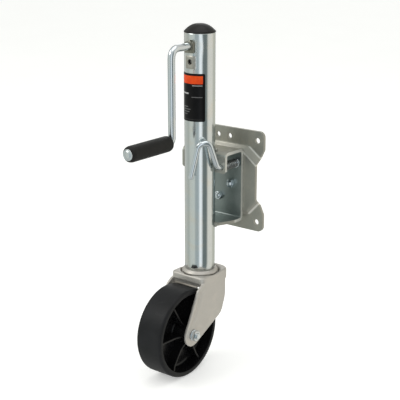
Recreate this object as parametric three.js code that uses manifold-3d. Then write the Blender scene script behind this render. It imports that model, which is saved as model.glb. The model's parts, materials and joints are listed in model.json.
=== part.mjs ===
// Swing-up trailer tongue jack with a side-wind crank and a caster wheel, shown fully retracted.
// Millimetres, +Z up. The solids are built with z = 0 at the floor under the wheel and the tube on
// the Z axis: +Y points to the trailer tongue, and the crank points to -Y. The exported group then
// moves the origin to the face of the mounting plate that lies on the tongue.

import * as THREE from 'three';
import { mergeVertices } from 'three/addons/utils/BufferGeometryUtils.js';
import Module from 'manifold-3d';

const wasm = await Module();
wasm.setup();

// ---------------------------------------------------------------- driving dimensions

const GAP = 0.3;

// outer tube
const TUBE_R = 25.4;
const TUBE_WALL = 2.7;
const TUBE_BORE_R = TUBE_R - TUBE_WALL;
const TUBE_BOTTOM = 173;
const TUBE_TOP = 569;

// ram, screw and nut
const TRAVEL = 252;
const RAM_R = TUBE_BORE_R - 0.4;
const RAM_BORE_R = RAM_R - 2.6;
const RAM_BOTTOM = 169.7;
const RAM_TOP = 505;
const SCREW_R = 8;
const NUT_LENGTH = 26;
const NUT_BOTTOM = RAM_TOP - 2 - NUT_LENGTH;
const STOP_TOP = NUT_BOTTOM - TRAVEL - 1.5;
const STOP_LENGTH = 8;

// crank and bevel gears
const CRANK_Z = 549.5;
const ROD_R = 6;
const SHAFT_R = 4.75;
const ARM_Y = -72;
const GRIP_Z = 402;
const GRIP_START_Y = -80.5;
const GRIP_END_Y = -176;
const GRIP_R = 13;
const PINION_TEETH = 12;
const GEAR_TEETH = 18;
const MODULE = 2;
const GEAR_PITCH_R = MODULE * GEAR_TEETH / 2;
const PINION_PITCH_R = MODULE * PINION_TEETH / 2;
const ADDENDUM = 1.5;
const DEDENDUM = 2.1;
const TOOTH_FILL = 0.78;

// bearing plate under the gear
const GEAR_BOTTOM = CRANK_Z - 22.5;
const PLATE_TOP = GEAR_BOTTOM - GAP;
const PLATE_BOTTOM = PLATE_TOP - 4.4;
const THRUST_BOTTOM = PLATE_BOTTOM - GAP - 6.4;

// caster
const WHEEL_R = 76.2;
const WHEEL_HALF_WIDTH = 25.4;
const AXLE_Y = -62;
const AXLE_Z = WHEEL_R;
const FORK_TOP = 162;
const FORK_SHEET = 4;
const FORK_HALF_WIDTH = 35;
const FORK_INNER = FORK_HALF_WIDTH - FORK_SHEET;
const HUB_HALF = FORK_INNER - 1.6;
const SLEEVE_R = 7.5;
const BUSHING_R = 11.4;
const AXLE_R = 5;
const KINGPIN_R = 7;

// swivel bracket
const SHEET = 5;
const PLATE_BACK_Y = 71;
const PLATE_CENTRE_Z = 318.5;
const PAN_RAISE = 6;
const PAN_FRONT_Y = PLATE_BACK_Y - SHEET - PAN_RAISE;
const FLANGE_Z = 390;
const WEB_BACK_Y = PAN_FRONT_Y - GAP;
const WEB_FRONT_Y = WEB_BACK_Y - SHEET;
const CHANNEL_HALF_WIDTH = 45;
const CHANNEL_TOP = 374.5;
const CHANNEL_BOTTOM = 249;
const LIP_FRONT_Y = 9.5;
const LIP_BOTTOM = 340;
const SWIVEL_Z = 312;
const SWIVEL_HOLE_R = 32;
const SWIVEL_BOLT_CIRCLE_R = 25;
const SWIVEL_BOLTS = 4;
const SWIVEL_BOLT_R = 4;
const SWIVEL_BOLT_HOLE_R = SWIVEL_BOLT_R + GAP;

// pull pin
const PIN_R = 4.5;
const PIN_X = 36;
const PIN_Z = 350;
const PIN_TIP_Y = PAN_FRONT_Y - GAP;
const PIN_COLLAR_Y = 48;

// ---------------------------------------------------------------- materials

const metal = (color, roughness) => new THREE.MeshStandardMaterial({ color, roughness, metalness: 0.9 });
const plastic = (color, roughness) => new THREE.MeshStandardMaterial({ color, roughness, metalness: 0 });

const BRIGHT_ZINC = metal(0xb9beba, 0.22);
const SATIN_ZINC = metal(0xb3b0a4, 0.45);
const DARK_STEEL = metal(0x5a5b58, 0.5);
const BRONZE = metal(0xa88a54, 0.4);
const BLACK_PLASTIC = plastic(0x1b1b1c, 0.5);
const BLACK_POLY = plastic(0x26282b, 0.45);
const LABEL_BLACK = plastic(0x101012, 0.35);

// ---------------------------------------------------------------- geometry helpers

// Geometry with shared vertices and outward faces, from any closed three.js geometry.
function closed(geometry) {
  const bare = new THREE.BufferGeometry();
  bare.setAttribute('position', geometry.getAttribute('position'));
  if (geometry.index) bare.setIndex(geometry.index);
  const merged = mergeVertices(bare, 1e-4);
  const position = merged.getAttribute('position');
  const source = merged.index.array;
  const index = [];
  const a = new THREE.Vector3();
  const b = new THREE.Vector3();
  const c = new THREE.Vector3();
  let volume = 0;
  for (let i = 0; i < source.length; i += 3) {
    const [p, q, r] = [source[i], source[i + 1], source[i + 2]];
    if (p === q || q === r || r === p) continue;
    index.push(p, q, r);
    a.fromBufferAttribute(position, p);
    b.fromBufferAttribute(position, q);
    c.fromBufferAttribute(position, r);
    volume += a.dot(b.cross(c));
  }
  if (volume < 0) index.reverse();
  merged.setIndex(index);
  return merged;
}

function solid(geometry) {
  const shape = closed(geometry);
  const vertProperties = new Float32Array(shape.getAttribute('position').array);
  const triVerts = new Uint32Array(shape.index.array);
  return new wasm.Manifold(new wasm.Mesh({ numProp: 3, vertProperties, triVerts }));
}

function surface(body) {
  const mesh = body.getMesh();
  const geometry = new THREE.BufferGeometry();
  geometry.setAttribute('position', new THREE.BufferAttribute(mesh.vertProperties, 3));
  geometry.setIndex(new THREE.BufferAttribute(mesh.triVerts, 1));
  return geometry;
}

// first + joined - removed, all three.js geometries.
function combine(first, joined, removed) {
  let body = solid(first);
  for (const geometry of joined) body = body.add(solid(geometry));
  for (const geometry of removed) body = body.subtract(solid(geometry));
  return surface(body);
}

function common(first, second) {
  return surface(solid(first).intersect(solid(second)));
}

// Solid of revolution about the Z axis from [radius, z] corners of a closed outline.
function turned(corners, segments = 24) {
  const outline = corners.map(([r, z]) => new THREE.Vector2(r, z));
  outline.push(outline[0].clone());
  return new THREE.LatheGeometry(outline, segments).rotateX(Math.PI / 2);
}

function ring(inner, outer, bottom, top, segments = 24) {
  return turned([[inner, bottom], [outer, bottom], [outer, top], [inner, top]], segments);
}

const ontoX = (geometry) => geometry.rotateY(Math.PI / 2);
const ontoMinusY = (geometry) => geometry.rotateX(Math.PI / 2);

function box(x0, x1, y0, y1, z0, z1) {
  const geometry = new THREE.BoxGeometry(x1 - x0, y1 - y0, z1 - z0);
  return geometry.translate((x0 + x1) / 2, (y0 + y1) / 2, (z0 + z1) / 2);
}

function rodX(radius, x0, x1, y, z, sides = 16) {
  const geometry = new THREE.CylinderGeometry(radius, radius, x1 - x0, sides).rotateZ(Math.PI / 2);
  return geometry.translate((x0 + x1) / 2, y, z);
}

function rodY(radius, y0, y1, x, z, sides = 16) {
  return new THREE.CylinderGeometry(radius, radius, y1 - y0, sides).translate(x, (y0 + y1) / 2, z);
}

function rodZ(radius, z0, z1, x = 0, y = 0, sides = 32) {
  const geometry = new THREE.CylinderGeometry(radius, radius, z1 - z0, sides).rotateX(Math.PI / 2);
  return geometry.translate(x, y, (z0 + z1) / 2);
}

// Closed outline through corners [u, v, radius], each corner rounded by its radius.
function rounded(corners) {
  const shape = new THREE.Shape();
  const count = corners.length;
  for (let i = 0; i < count; i += 1) {
    const [u, v, radius = 0] = corners[i];
    const corner = new THREE.Vector2(u, v);
    const before = new THREE.Vector2(...corners[(i + count - 1) % count].slice(0, 2)).sub(corner);
    const after = new THREE.Vector2(...corners[(i + 1) % count].slice(0, 2)).sub(corner);
    const half = Math.acos(before.dot(after) / (before.length() * after.length())) / 2;
    const cut = radius / Math.tan(half);
    const start = corner.clone().addScaledVector(before.normalize(), cut);
    const end = corner.clone().addScaledVector(after.normalize(), cut);
    if (i === 0) shape.moveTo(start.x, start.y);
    else shape.lineTo(start.x, start.y);
    if (radius > 0) {
      const middle = before.add(after).normalize();
      const centre = corner.clone().addScaledVector(middle, radius / Math.sin(half));
      const from = Math.atan2(start.y - centre.y, start.x - centre.x);
      const to = Math.atan2(end.y - centre.y, end.x - centre.x);
      const clockwise = Math.sin(to - from) < 0;
      shape.absarc(centre.x, centre.y, radius, from, to, clockwise);
    }
  }
  shape.closePath();
  return shape;
}

function extruded(shape, depth, options = {}) {
  return new THREE.ExtrudeGeometry(shape, { depth, bevelEnabled: false, curveSegments: 5, ...options });
}

// An (x, z) outline pushed from y0 to y1.
function prismY(shape, y0, y1, options) {
  const swap = new THREE.Matrix4().set(1, 0, 0, 0, 0, 0, 1, 0, 0, 1, 0, 0, 0, 0, 0, 1);
  return extruded(shape, y1 - y0, options).applyMatrix4(swap).translate(0, y0, 0);
}

// A (y, z) outline pushed from x0 to x1.
function prismX(shape, x0, x1) {
  const turn = new THREE.Matrix4().set(0, 0, 1, 0, 1, 0, 0, 0, 0, 1, 0, 0, 0, 0, 0, 1);
  return extruded(shape, x1 - x0).applyMatrix4(turn).translate(x0, 0, 0);
}

function polygon(points) {
  return new THREE.Shape(points.map(([u, v]) => new THREE.Vector2(u, v)));
}

function hexagon(acrossFlats, turn = 0) {
  const radius = acrossFlats / Math.sqrt(3);
  const corners = [];
  for (let i = 0; i < 6; i += 1) {
    const angle = turn + i * Math.PI / 3;
    corners.push([radius * Math.cos(angle), radius * Math.sin(angle)]);
  }
  return polygon(corners);
}

// Round bar along corners, each inner corner eased over the given distance.
function bar(corners, ease, radius, steps, sides = 12) {
  const points = corners.map((corner) => new THREE.Vector3(...corner));
  const path = new THREE.CurvePath();
  let from = points[0];
  for (let i = 1; i < points.length - 1; i += 1) {
    const cut = ease[i - 1];
    const entry = points[i].clone().add(points[i - 1].clone().sub(points[i]).setLength(cut));
    const exit = points[i].clone().add(points[i + 1].clone().sub(points[i]).setLength(cut));
    path.add(new THREE.LineCurve3(from, entry));
    path.add(new THREE.QuadraticBezierCurve3(entry, points[i], exit));
    from = exit;
  }
  path.add(new THREE.LineCurve3(from, points[points.length - 1]));
  return swept(path, radius, steps, sides);
}

function swept(path, radius, steps, sides) {
  const section = [];
  for (let i = 0; i < sides; i += 1) {
    const angle = 2 * Math.PI * i / sides;
    section.push([radius * Math.cos(angle), radius * Math.sin(angle)]);
  }
  return new THREE.ExtrudeGeometry(polygon(section), { steps, bevelEnabled: false, extrudePath: path });
}

// ---------------------------------------------------------------- scene

const jack = new THREE.Group();

function piece(name, geometry, material) {
  const mesh = new THREE.Mesh(closed(geometry), material);
  mesh.name = name;
  mesh.geometry.computeVertexNormals();
  jack.add(mesh);
}

// ---------------------------------------------------------------- mounting plate

// Half-height and half-width of the plate's ears, and of its narrow waist.
const EAR_HALF_WIDTH = 82;
const PLATE_HALF_HEIGHT = 86.5;
const WAIST_HALF_WIDTH = 70;
const CORNER_HOLE = { x: 69, z: 70.5, r: 5 };
const INNER_HOLE = { x: 12, z: 71.5, r: 4.5 };

function plateOutline() {
  const [waist, ear, end] = [WAIST_HALF_WIDTH, EAR_HALF_WIDTH, PLATE_HALF_HEIGHT];
  const quarter = [[waist, 30, 8], [ear, 56, 8], [ear, end, 10]];
  const right = [...quarter.map(([x, z, r]) => [x, -z, r]).reverse(), ...quarter];
  const left = right.map(([x, z, r]) => [-x, z, r]).reverse();
  return rounded([...right, ...left].map(([x, z, r]) => [x, z + PLATE_CENTRE_Z, r]));
}

// Raised octagonal pan: its flat top, widening on a slope back to the plate.
function panSolid(offsetY) {
  const right = [[46, 54], [64, 38], [64, -38], [46, -54]];
  const left = right.map(([x, z]) => [-x, z]).reverse();
  const outline = polygon([...right, ...left].map(([x, z]) => [x, z + PLATE_CENTRE_Z]));
  const slope = { bevelEnabled: true, bevelThickness: PAN_RAISE, bevelSize: PAN_RAISE, bevelSegments: 1 };
  const front = PAN_FRONT_Y + PAN_RAISE + offsetY;
  return prismY(outline, front, front + SHEET, slope);
}

function mountingPlate() {
  const flat = prismY(plateOutline(), PLATE_BACK_Y - SHEET, PLATE_BACK_Y);
  const reach = prismY(plateOutline(), PAN_FRONT_Y - 1, PLATE_BACK_Y);
  const holes = [];
  for (const side of [-1, 1]) {
    for (const end of [-1, 1]) {
      for (const hole of [CORNER_HOLE, INNER_HOLE]) {
        const z = PLATE_CENTRE_Z + end * hole.z;
        holes.push(rodY(hole.r, PAN_FRONT_Y, PLATE_BACK_Y + 1, side * hole.x, z, 14));
      }
    }
  }
  const [dx, dz] = [PIN_X, PIN_Z - SWIVEL_Z];
  for (const [x, z] of [[dx, dz], [dz, -dx], [-dz, dx]]) {
    holes.push(rodY(PIN_R + 0.6, PAN_FRONT_Y - 1, PLATE_BACK_Y, x, SWIVEL_Z + z, 14));
  }
  holes.push(rodY(SWIVEL_HOLE_R, PAN_FRONT_Y - 1, PLATE_BACK_Y, 0, SWIVEL_Z, 32));
  return combine(flat, [common(panSolid(0), reach)], [panSolid(SHEET), ...holes]);
}

piece('mounting_plate', mountingPlate(), SATIN_ZINC);

// ---------------------------------------------------------------- swivel bracket

function swivelChannel() {
  const [top, bottom] = [CHANNEL_TOP, CHANNEL_BOTTOM];
  const outside = 8;
  const inside = outside - SHEET;
  const legEnd = 6;
  const profile = rounded([
    [LIP_FRONT_Y, LIP_BOTTOM],
    [LIP_FRONT_Y + SHEET, LIP_BOTTOM],
    [LIP_FRONT_Y + SHEET, top - SHEET, inside],
    [WEB_FRONT_Y, top - SHEET, inside],
    [WEB_FRONT_Y, bottom + SHEET, inside],
    [legEnd, bottom + SHEET],
    [legEnd, bottom],
    [WEB_BACK_Y, bottom, outside],
    [WEB_BACK_Y, top, outside],
    [LIP_FRONT_Y, top, outside],
  ]);
  const strip = prismX(profile, -CHANNEL_HALF_WIDTH, CHANNEL_HALF_WIDTH);
  const cuts = [rodZ(TUBE_R + GAP, bottom - 1, top + 1)];
  for (const side of [-1, 1]) {
    const taper = polygon([[50 * side, 0], [50 * side, 40], [44 * side, 36], [29 * side, 0]]);
    cuts.push(extruded(taper, 2 * SHEET).translate(0, 0, bottom - 1));
  }
  cuts.push(rodY(PIN_R + 0.4, LIP_FRONT_Y - 1, WEB_BACK_Y + 1, PIN_X, PIN_Z, 20));
  for (const [x, z] of boltCentres()) cuts.push(boltHole(x, z, WEB_FRONT_Y, WEB_BACK_Y));
  return combine(strip, [], cuts);
}

function boltHole(x, z, y0, y1) {
  return rodY(SWIVEL_BOLT_HOLE_R, y0 - 1, y1 + 1, x, z, 12);
}

function boltCentres() {
  const centres = [];
  for (let i = 0; i < SWIVEL_BOLTS; i += 1) {
    const angle = 2 * Math.PI * i / SWIVEL_BOLTS;
    const x = SWIVEL_BOLT_CIRCLE_R * Math.cos(angle);
    centres.push([x, SWIVEL_Z + SWIVEL_BOLT_CIRCLE_R * Math.sin(angle)]);
  }
  return centres;
}

function drilledDisc(radius, y0, y1) {
  const holes = boltCentres().map(([x, z]) => boltHole(x, z, y0, y1));
  return combine(rodY(radius, y0, y1, 0, SWIVEL_Z, 32), [], holes);
}

const SWIVEL_HEX = 13;
const SPACER_BACK_Y = WEB_BACK_Y + GAP + SHEET + 0.1;
const DISC_BACK_Y = SPACER_BACK_Y + 3;

piece('swivel_channel', swivelChannel(), SATIN_ZINC);
piece('swivel_spacer', drilledDisc(SWIVEL_HOLE_R - 0.4, WEB_BACK_Y + GAP, SPACER_BACK_Y), SATIN_ZINC);
piece('swivel_disc', drilledDisc(SWIVEL_HOLE_R + 5, SPACER_BACK_Y + GAP, DISC_BACK_Y), SATIN_ZINC);

function swivelBolt(x, z) {
  const head = rodY(8, DISC_BACK_Y + GAP, DISC_BACK_Y + 2.2, x, z);
  return combine(head, [rodY(SWIVEL_BOLT_R, WEB_FRONT_Y - 9, DISC_BACK_Y + 1, x, z, 12)], []);
}

function swivelNut(x, z) {
  const back = WEB_FRONT_Y - GAP;
  const front = back - 6.2;
  const hex = prismY(hexagon(SWIVEL_HEX), front, back).translate(x, 0, z);
  return combine(hex, [], [boltHole(x, z, front, back)]);
}

boltCentres().forEach(([x, z], i) => {
  piece(`swivel_bolt_${i + 1}`, swivelBolt(x, z), BRIGHT_ZINC);
  piece(`swivel_nut_${i + 1}`, swivelNut(x, z), BRIGHT_ZINC);
});

// Fillet bead round the back of the tube, on the outside of each leg of the channel.
function weldBead(legFace, direction, startY) {
  const root = legFace + direction * GAP;
  const inner = TUBE_R + GAP;
  const bead = turned([[inner, root], [inner + 4.5, root], [inner, root + direction * 4.5]]);
  return common(bead, box(-40, 40, startY, 40, root - 10, root + 10));
}

piece('weld_upper', weldBead(CHANNEL_TOP, 1, LIP_FRONT_Y + 6), SATIN_ZINC);
piece('weld_lower', weldBead(CHANNEL_BOTTOM, -1, 8), SATIN_ZINC);

// ---------------------------------------------------------------- outer tube and its fittings

const WINDOW = { x: 8.8, z0: CRANK_Z - 11, z1: CRANK_Z + 7 };
const SHAFT_HOLE_R = 8.3;
const LOCK_HOLE_R = 3.5;
const DOWEL_Z = (PLATE_TOP + PLATE_BOTTOM) / 2;

function outerTube() {
  const wall = ring(TUBE_BORE_R, TUBE_R, TUBE_BOTTOM, TUBE_TOP, 40);
  const window = box(-WINDOW.x, WINDOW.x, -30, 0, WINDOW.z0, WINDOW.z1);
  const rearHole = rodY(SHAFT_HOLE_R, 0, 30, 0, CRANK_Z);
  const lockHole = rodY(LOCK_HOLE_R, -30, 0, 0, DOWEL_Z, 16);
  return combine(wall, [], [window, rearHole, lockHole]);
}

function topCap() {
  const rim = TUBE_R + 0.5;
  const seat = TUBE_TOP + GAP;
  const [edge, height] = [2, 12];
  const dome = [];
  const steps = 5;
  for (let i = 0; i <= steps; i += 1) {
    const share = 1 - i / steps;
    dome.push([rim * share, seat + edge + height * (1 - share * share)]);
  }
  const skirt = TUBE_BORE_R - 0.35;
  const hollow = skirt - 2;
  const foot = TUBE_TOP - 4.5;
  const plug = [[0, seat + 6], [hollow, seat], [hollow, foot], [skirt, foot], [skirt, seat]];
  return turned([...plug, [rim, seat], ...dome], 32);
}

function frontBushing() {
  const block = box(-WINDOW.x + GAP, WINDOW.x - GAP, -24.8, -19.2, WINDOW.z0 + GAP, WINDOW.z1 - GAP);
  const inTube = common(block, rodZ(TUBE_R - 0.2, WINDOW.z0 - 1, WINDOW.z1 + 1));
  return combine(inTube, [], [rodY(ROD_R + 0.3, -30, 0, 0, CRANK_Z)]);
}

function rearBushing() {
  const sleeve = rodY(SHAFT_HOLE_R - GAP, 18.6, TUBE_R + 1.5, 0, CRANK_Z);
  const flange = rodY(11, TUBE_R + GAP, TUBE_R + 2.2, 0, CRANK_Z);
  return combine(sleeve, [flange], [rodY(SHAFT_R + 0.25, 0, 40, 0, CRANK_Z)]);
}

function bearingPlate() {
  return ring(SCREW_R + 0.4, TUBE_BORE_R - 0.3, PLATE_BOTTOM, PLATE_TOP);
}

function thrustBearing() {
  const [bottom, top] = [THRUST_BOTTOM, PLATE_BOTTOM - GAP];
  const [inner, outer, waist] = [SCREW_R + 0.4, 15, 1];
  const middle = (bottom + top) / 2;
  return turned([
    [inner, bottom], [outer, bottom], [outer, middle - waist], [outer - waist, middle],
    [outer, middle + waist], [outer, top], [inner, top],
  ], 16);
}

const LABEL_BOTTOM = 428.5;
const LABEL_TOP = 506;
const LABEL_HALF_ANGLE = 57 * Math.PI / 180;

function label() {
  const inner = TUBE_R + GAP;
  const sleeve = ring(inner, inner + 0.3, LABEL_BOTTOM, LABEL_TOP, 60);
  const reach = 60;
  const side = reach * Math.tan(LABEL_HALF_ANGLE);
  const wedge = extruded(polygon([[0, 0], [-side, -reach], [side, -reach]]), TUBE_TOP);
  return common(sleeve, wedge);
}

piece('outer_tube', outerTube(), BRIGHT_ZINC);
piece('top_cap', topCap(), BLACK_PLASTIC);
piece('crank_bushing_front', frontBushing(), DARK_STEEL);
piece('crank_bushing_rear', rearBushing(), DARK_STEEL);
piece('bearing_plate', bearingPlate(), DARK_STEEL);
piece('thrust_bearing', thrustBearing(), DARK_STEEL);
piece('label', label(), LABEL_BLACK);

// ---------------------------------------------------------------- bevel gears

// Teeth of a bevel gear with its apex at the origin and its axis along -Z: an outline that grows
// from near the apex, so that every flank points to the apex.
function bevelTeeth(teeth, pitchRadius, pitchDistance, near, far, phase) {
  const cone = Math.hypot(pitchRadius, pitchDistance);
  const pitchAngle = Math.atan2(pitchRadius, pitchDistance);
  const tip = pitchDistance * Math.tan(pitchAngle + Math.atan(ADDENDUM / cone));
  const root = pitchDistance * Math.tan(pitchAngle - Math.atan(DEDENDUM / cone));
  const pitchHalf = TOOTH_FILL * Math.PI / (2 * teeth);
  const outline = [];
  for (let i = 0; i < teeth; i += 1) {
    const middle = phase + 2 * Math.PI * i / teeth;
    for (const [radius, share] of [[root, -1.45], [tip, -0.5], [tip, 0.5], [root, 1.45]]) {
      const angle = middle + share * pitchHalf;
      outline.push(new THREE.Vector2(radius * Math.cos(angle), radius * Math.sin(angle)));
    }
  }
  const triangles = THREE.ShapeUtils.triangulateShape(outline, []);
  const count = outline.length;
  const position = [];
  for (const distance of [near, far]) {
    const scale = distance / pitchDistance;
    for (const point of outline) position.push(point.x * scale, point.y * scale, -distance);
  }
  const index = [];
  for (const [a, b, c] of triangles) {
    index.push(a, b, c, c + count, b + count, a + count);
  }
  for (let i = 0; i < count; i += 1) {
    const next = (i + 1) % count;
    index.push(i, i + count, next + count, i, next + count, next);
  }
  const geometry = new THREE.BufferGeometry();
  geometry.setAttribute('position', new THREE.Float32BufferAttribute(position, 3));
  geometry.setIndex(index);
  return geometry;
}

const GEAR_HUB_R = 9.5;
const GEAR_BORE_R = 6.1;
const PINION_HUB_R = 7.6;
const GEAR_PIN = { r: 1.4, z: CRANK_Z - 19.8 };
const PINION_PIN = { r: 1.2, y: -10.6 };

// Cross holes for the two pins, along X.
function gearPinHole() {
  return rodX(GEAR_PIN.r + GAP, -20, 20, 0, GEAR_PIN.z, 12);
}

function pinionPinHole() {
  return rodX(PINION_PIN.r + GAP, -20, 20, PINION_PIN.y, CRANK_Z, 12);
}

function bevelGear() {
  const blank = turned([
    [GEAR_BORE_R, -9.4], [12.3, -9.4], [13.6, -7.75], [18.8, -10.7], [16.2, -14.6],
    [16.2, -17], [GEAR_HUB_R, -17], [GEAR_HUB_R, -22.5], [GEAR_BORE_R, -22.5],
  ], GEAR_TEETH);
  const teeth = bevelTeeth(GEAR_TEETH, GEAR_PITCH_R, PINION_PITCH_R, 4, 23, 0);
  const hubZone = rodZ(GEAR_HUB_R + 0.01, -23, -9.4, 0, 0, GEAR_TEETH);
  const gear = common(blank, combine(teeth, [hubZone], []));
  return combine(gear.translate(0, 0, CRANK_Z), [], [gearPinHole()]);
}

function bevelPinion() {
  const blank = turned([
    [SHAFT_R + 0.25, -8.8], [PINION_HUB_R, -8.8], [PINION_HUB_R, -12.5], [9.6, -12.4],
    [13.2, -17], [11.3, -18.7], [SHAFT_R + 0.25, -18.7],
  ], PINION_TEETH);
  const phase = Math.PI / 2;
  const teeth = bevelTeeth(PINION_TEETH, PINION_PITCH_R, GEAR_PITCH_R, 7, 24, phase);
  const hubZone = rodZ(PINION_HUB_R, -12.6, -8.7, 0, 0, PINION_TEETH);
  const pinion = common(blank, combine(teeth, [hubZone], []));
  return combine(pinion.rotateX(-Math.PI / 2).translate(0, 0, CRANK_Z), [], [pinionPinHole()]);
}

piece('bevel_gear', bevelGear(), DARK_STEEL);
piece('gear_pin', rodX(GEAR_PIN.r, -GEAR_HUB_R, GEAR_HUB_R, 0, GEAR_PIN.z, 12), DARK_STEEL);
piece('bevel_pinion', bevelPinion(), DARK_STEEL);
piece('pinion_pin', rodX(PINION_PIN.r, -7.4, 7.4, PINION_PIN.y, CRANK_Z, 12), DARK_STEEL);

// ---------------------------------------------------------------- crank and grip

function crankRod() {
  const shaftEnd = TUBE_R + 3.4;
  const start = -19.1;
  const bent = bar([
    [0, start, CRANK_Z], [0, ARM_Y, CRANK_Z], [0, ARM_Y, GRIP_Z], [0, GRIP_END_Y - 3.4, GRIP_Z],
  ], [17, 9], ROD_R, 44, 10);
  const shaft = rodY(SHAFT_R, start - 2, shaftEnd, 0, CRANK_Z);
  return combine(bent, [shaft], [pinionPinHole()]);
}

function crankClip() {
  return ontoMinusY(ring(SHAFT_R + 0.25, 8, 0, 1.4, 16)).translate(0, 18, CRANK_Z);
}

function crankGrip() {
  const [near, far] = [-GRIP_START_Y, -GRIP_END_Y];
  const bore = ROD_R + 0.4;
  const ease = 3;
  const profile = [
    [bore, near], [GRIP_R - ease, near], [GRIP_R, near + ease], [GRIP_R, far - ease],
    [GRIP_R - ease, far], [bore, far],
  ];
  return ontoMinusY(turned(profile, 28)).translate(0, 0, GRIP_Z);
}

function gripWasher() {
  const near = -GRIP_END_Y + GAP;
  return ontoMinusY(ring(ROD_R + 0.25, 9.2, near, near + 1.4, 20)).translate(0, 0, GRIP_Z);
}

piece('crank_rod', crankRod(), BRIGHT_ZINC);
piece('crank_clip', crankClip(), DARK_STEEL);
piece('crank_grip', crankGrip(), BLACK_PLASTIC);
piece('grip_washer', gripWasher(), BRIGHT_ZINC);

// ---------------------------------------------------------------- lead screw

function leadScrew() {
  const collarTop = THRUST_BOTTOM - GAP;
  const collarBottom = collarTop - 4;
  const tailR = 5;
  const stopBottom = STOP_TOP - STOP_LENGTH;
  const collarR = 13;
  const journalR = GEAR_BORE_R - 0.25;
  const top = CRANK_Z - 9.6;
  const body = turned([
    [0, stopBottom - 2], [tailR, stopBottom - 2], [tailR, STOP_TOP + GAP], [SCREW_R, STOP_TOP + GAP + 2],
    [SCREW_R, collarBottom], [collarR, collarBottom], [collarR, collarTop], [SCREW_R, collarTop],
    [SCREW_R, PLATE_TOP], [journalR, PLATE_TOP + GAP], [journalR, top], [0, top],
  ], 24);
  return combine(body, [], [gearPinHole()]);
}

piece('lead_screw', leadScrew(), DARK_STEEL);
piece('screw_stop', ring(5.3, 12, STOP_TOP - STOP_LENGTH, STOP_TOP, 16), DARK_STEEL);

// ---------------------------------------------------------------- ram

const RACE_TOP = RAM_BOTTOM - GAP;
const RACE_BOTTOM = FORK_TOP + 3.7;

function leadNut() {
  const outer = RAM_BORE_R - 0.3;
  return ring(SCREW_R + 0.4, outer, NUT_BOTTOM, NUT_BOTTOM + NUT_LENGTH);
}

function upperRace() {
  const [bore, seat, rim] = [KINGPIN_R + 0.4, RAM_R + 0.4, 32];
  const shoulder = TUBE_BOTTOM - 0.6;
  return turned([
    [bore, RACE_BOTTOM], [rim, RACE_BOTTOM], [rim, RACE_BOTTOM + 1.6], [26.5, shoulder],
    [seat, shoulder], [seat, RACE_TOP], [bore, RACE_TOP],
  ]);
}

const BASE_TOP = RAM_BOTTOM + 12;
const KINGPIN_NUT_TOP = FORK_TOP - FORK_SHEET - GAP;
const KINGPIN_HEX = 22;

function kingpin() {
  const shank = rodZ(KINGPIN_R, KINGPIN_NUT_TOP - 12, BASE_TOP + 3, 0, 0, 24);
  const head = extruded(hexagon(KINGPIN_HEX), 8).translate(0, 0, BASE_TOP + GAP);
  return combine(head, [shank], []);
}

function kingpinNut() {
  const hex = extruded(hexagon(KINGPIN_HEX), 9).translate(0, 0, KINGPIN_NUT_TOP - 9);
  return combine(hex, [], [rodZ(KINGPIN_R + 0.3, 0, FORK_TOP, 0, 0, 20)]);
}

piece('inner_tube', ring(RAM_BORE_R, RAM_R, RAM_BOTTOM, RAM_TOP, 32), BRIGHT_ZINC);
piece('lead_nut', leadNut(), BRONZE);
piece('ram_base', ring(KINGPIN_R + 0.3, RAM_BORE_R - 0.3, RAM_BOTTOM, BASE_TOP), DARK_STEEL);
piece('upper_race', upperRace(), SATIN_ZINC);
piece('kingpin', kingpin(), DARK_STEEL);
piece('kingpin_nut', kingpinNut(), DARK_STEEL);

// ---------------------------------------------------------------- caster fork

const FORK_SKIRT_BOTTOM = 150;

function forkTopOutline(inset) {
  const side = FORK_HALF_WIDTH - inset;
  const [front, back] = [-36 + inset, 42 - inset];
  const [sharp, broad] = [9 - inset, 20 - inset];
  return rounded([[side, front, sharp], [side, back, broad], [-side, back, broad], [-side, front, sharp]]);
}

// One leg in (y, z): upright rear edge, curved shoulder, and a round end about the axle.
function legOutline() {
  const endR = 20;
  const frontTop = new THREE.Vector2(-48, 149);
  const shape = new THREE.Shape();
  shape.moveTo(-34, FORK_TOP - 4);
  shape.lineTo(frontTop.x, frontTop.y);
  const axle = new THREE.Vector2(AXLE_Y, AXLE_Z);
  const reach = frontTop.distanceTo(axle);
  const heading = Math.atan2(frontTop.y - axle.y, frontTop.x - axle.x);
  const frontAngle = heading + Math.acos(endR / reach);
  const shoulder = new THREE.Vector2(4, 86);
  const back = shoulder.distanceTo(axle);
  const backHeading = Math.atan2(shoulder.y - axle.y, shoulder.x - axle.x);
  const backAngle = backHeading - Math.acos(endR / back);
  shape.absarc(axle.x, axle.y, endR, frontAngle, backAngle + 2 * Math.PI, false);
  shape.lineTo(shoulder.x, shoulder.y);
  shape.quadraticCurveTo(31, 98, 31, 128);
  shape.lineTo(31, FORK_TOP - 4);
  shape.closePath();
  return shape;
}

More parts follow.
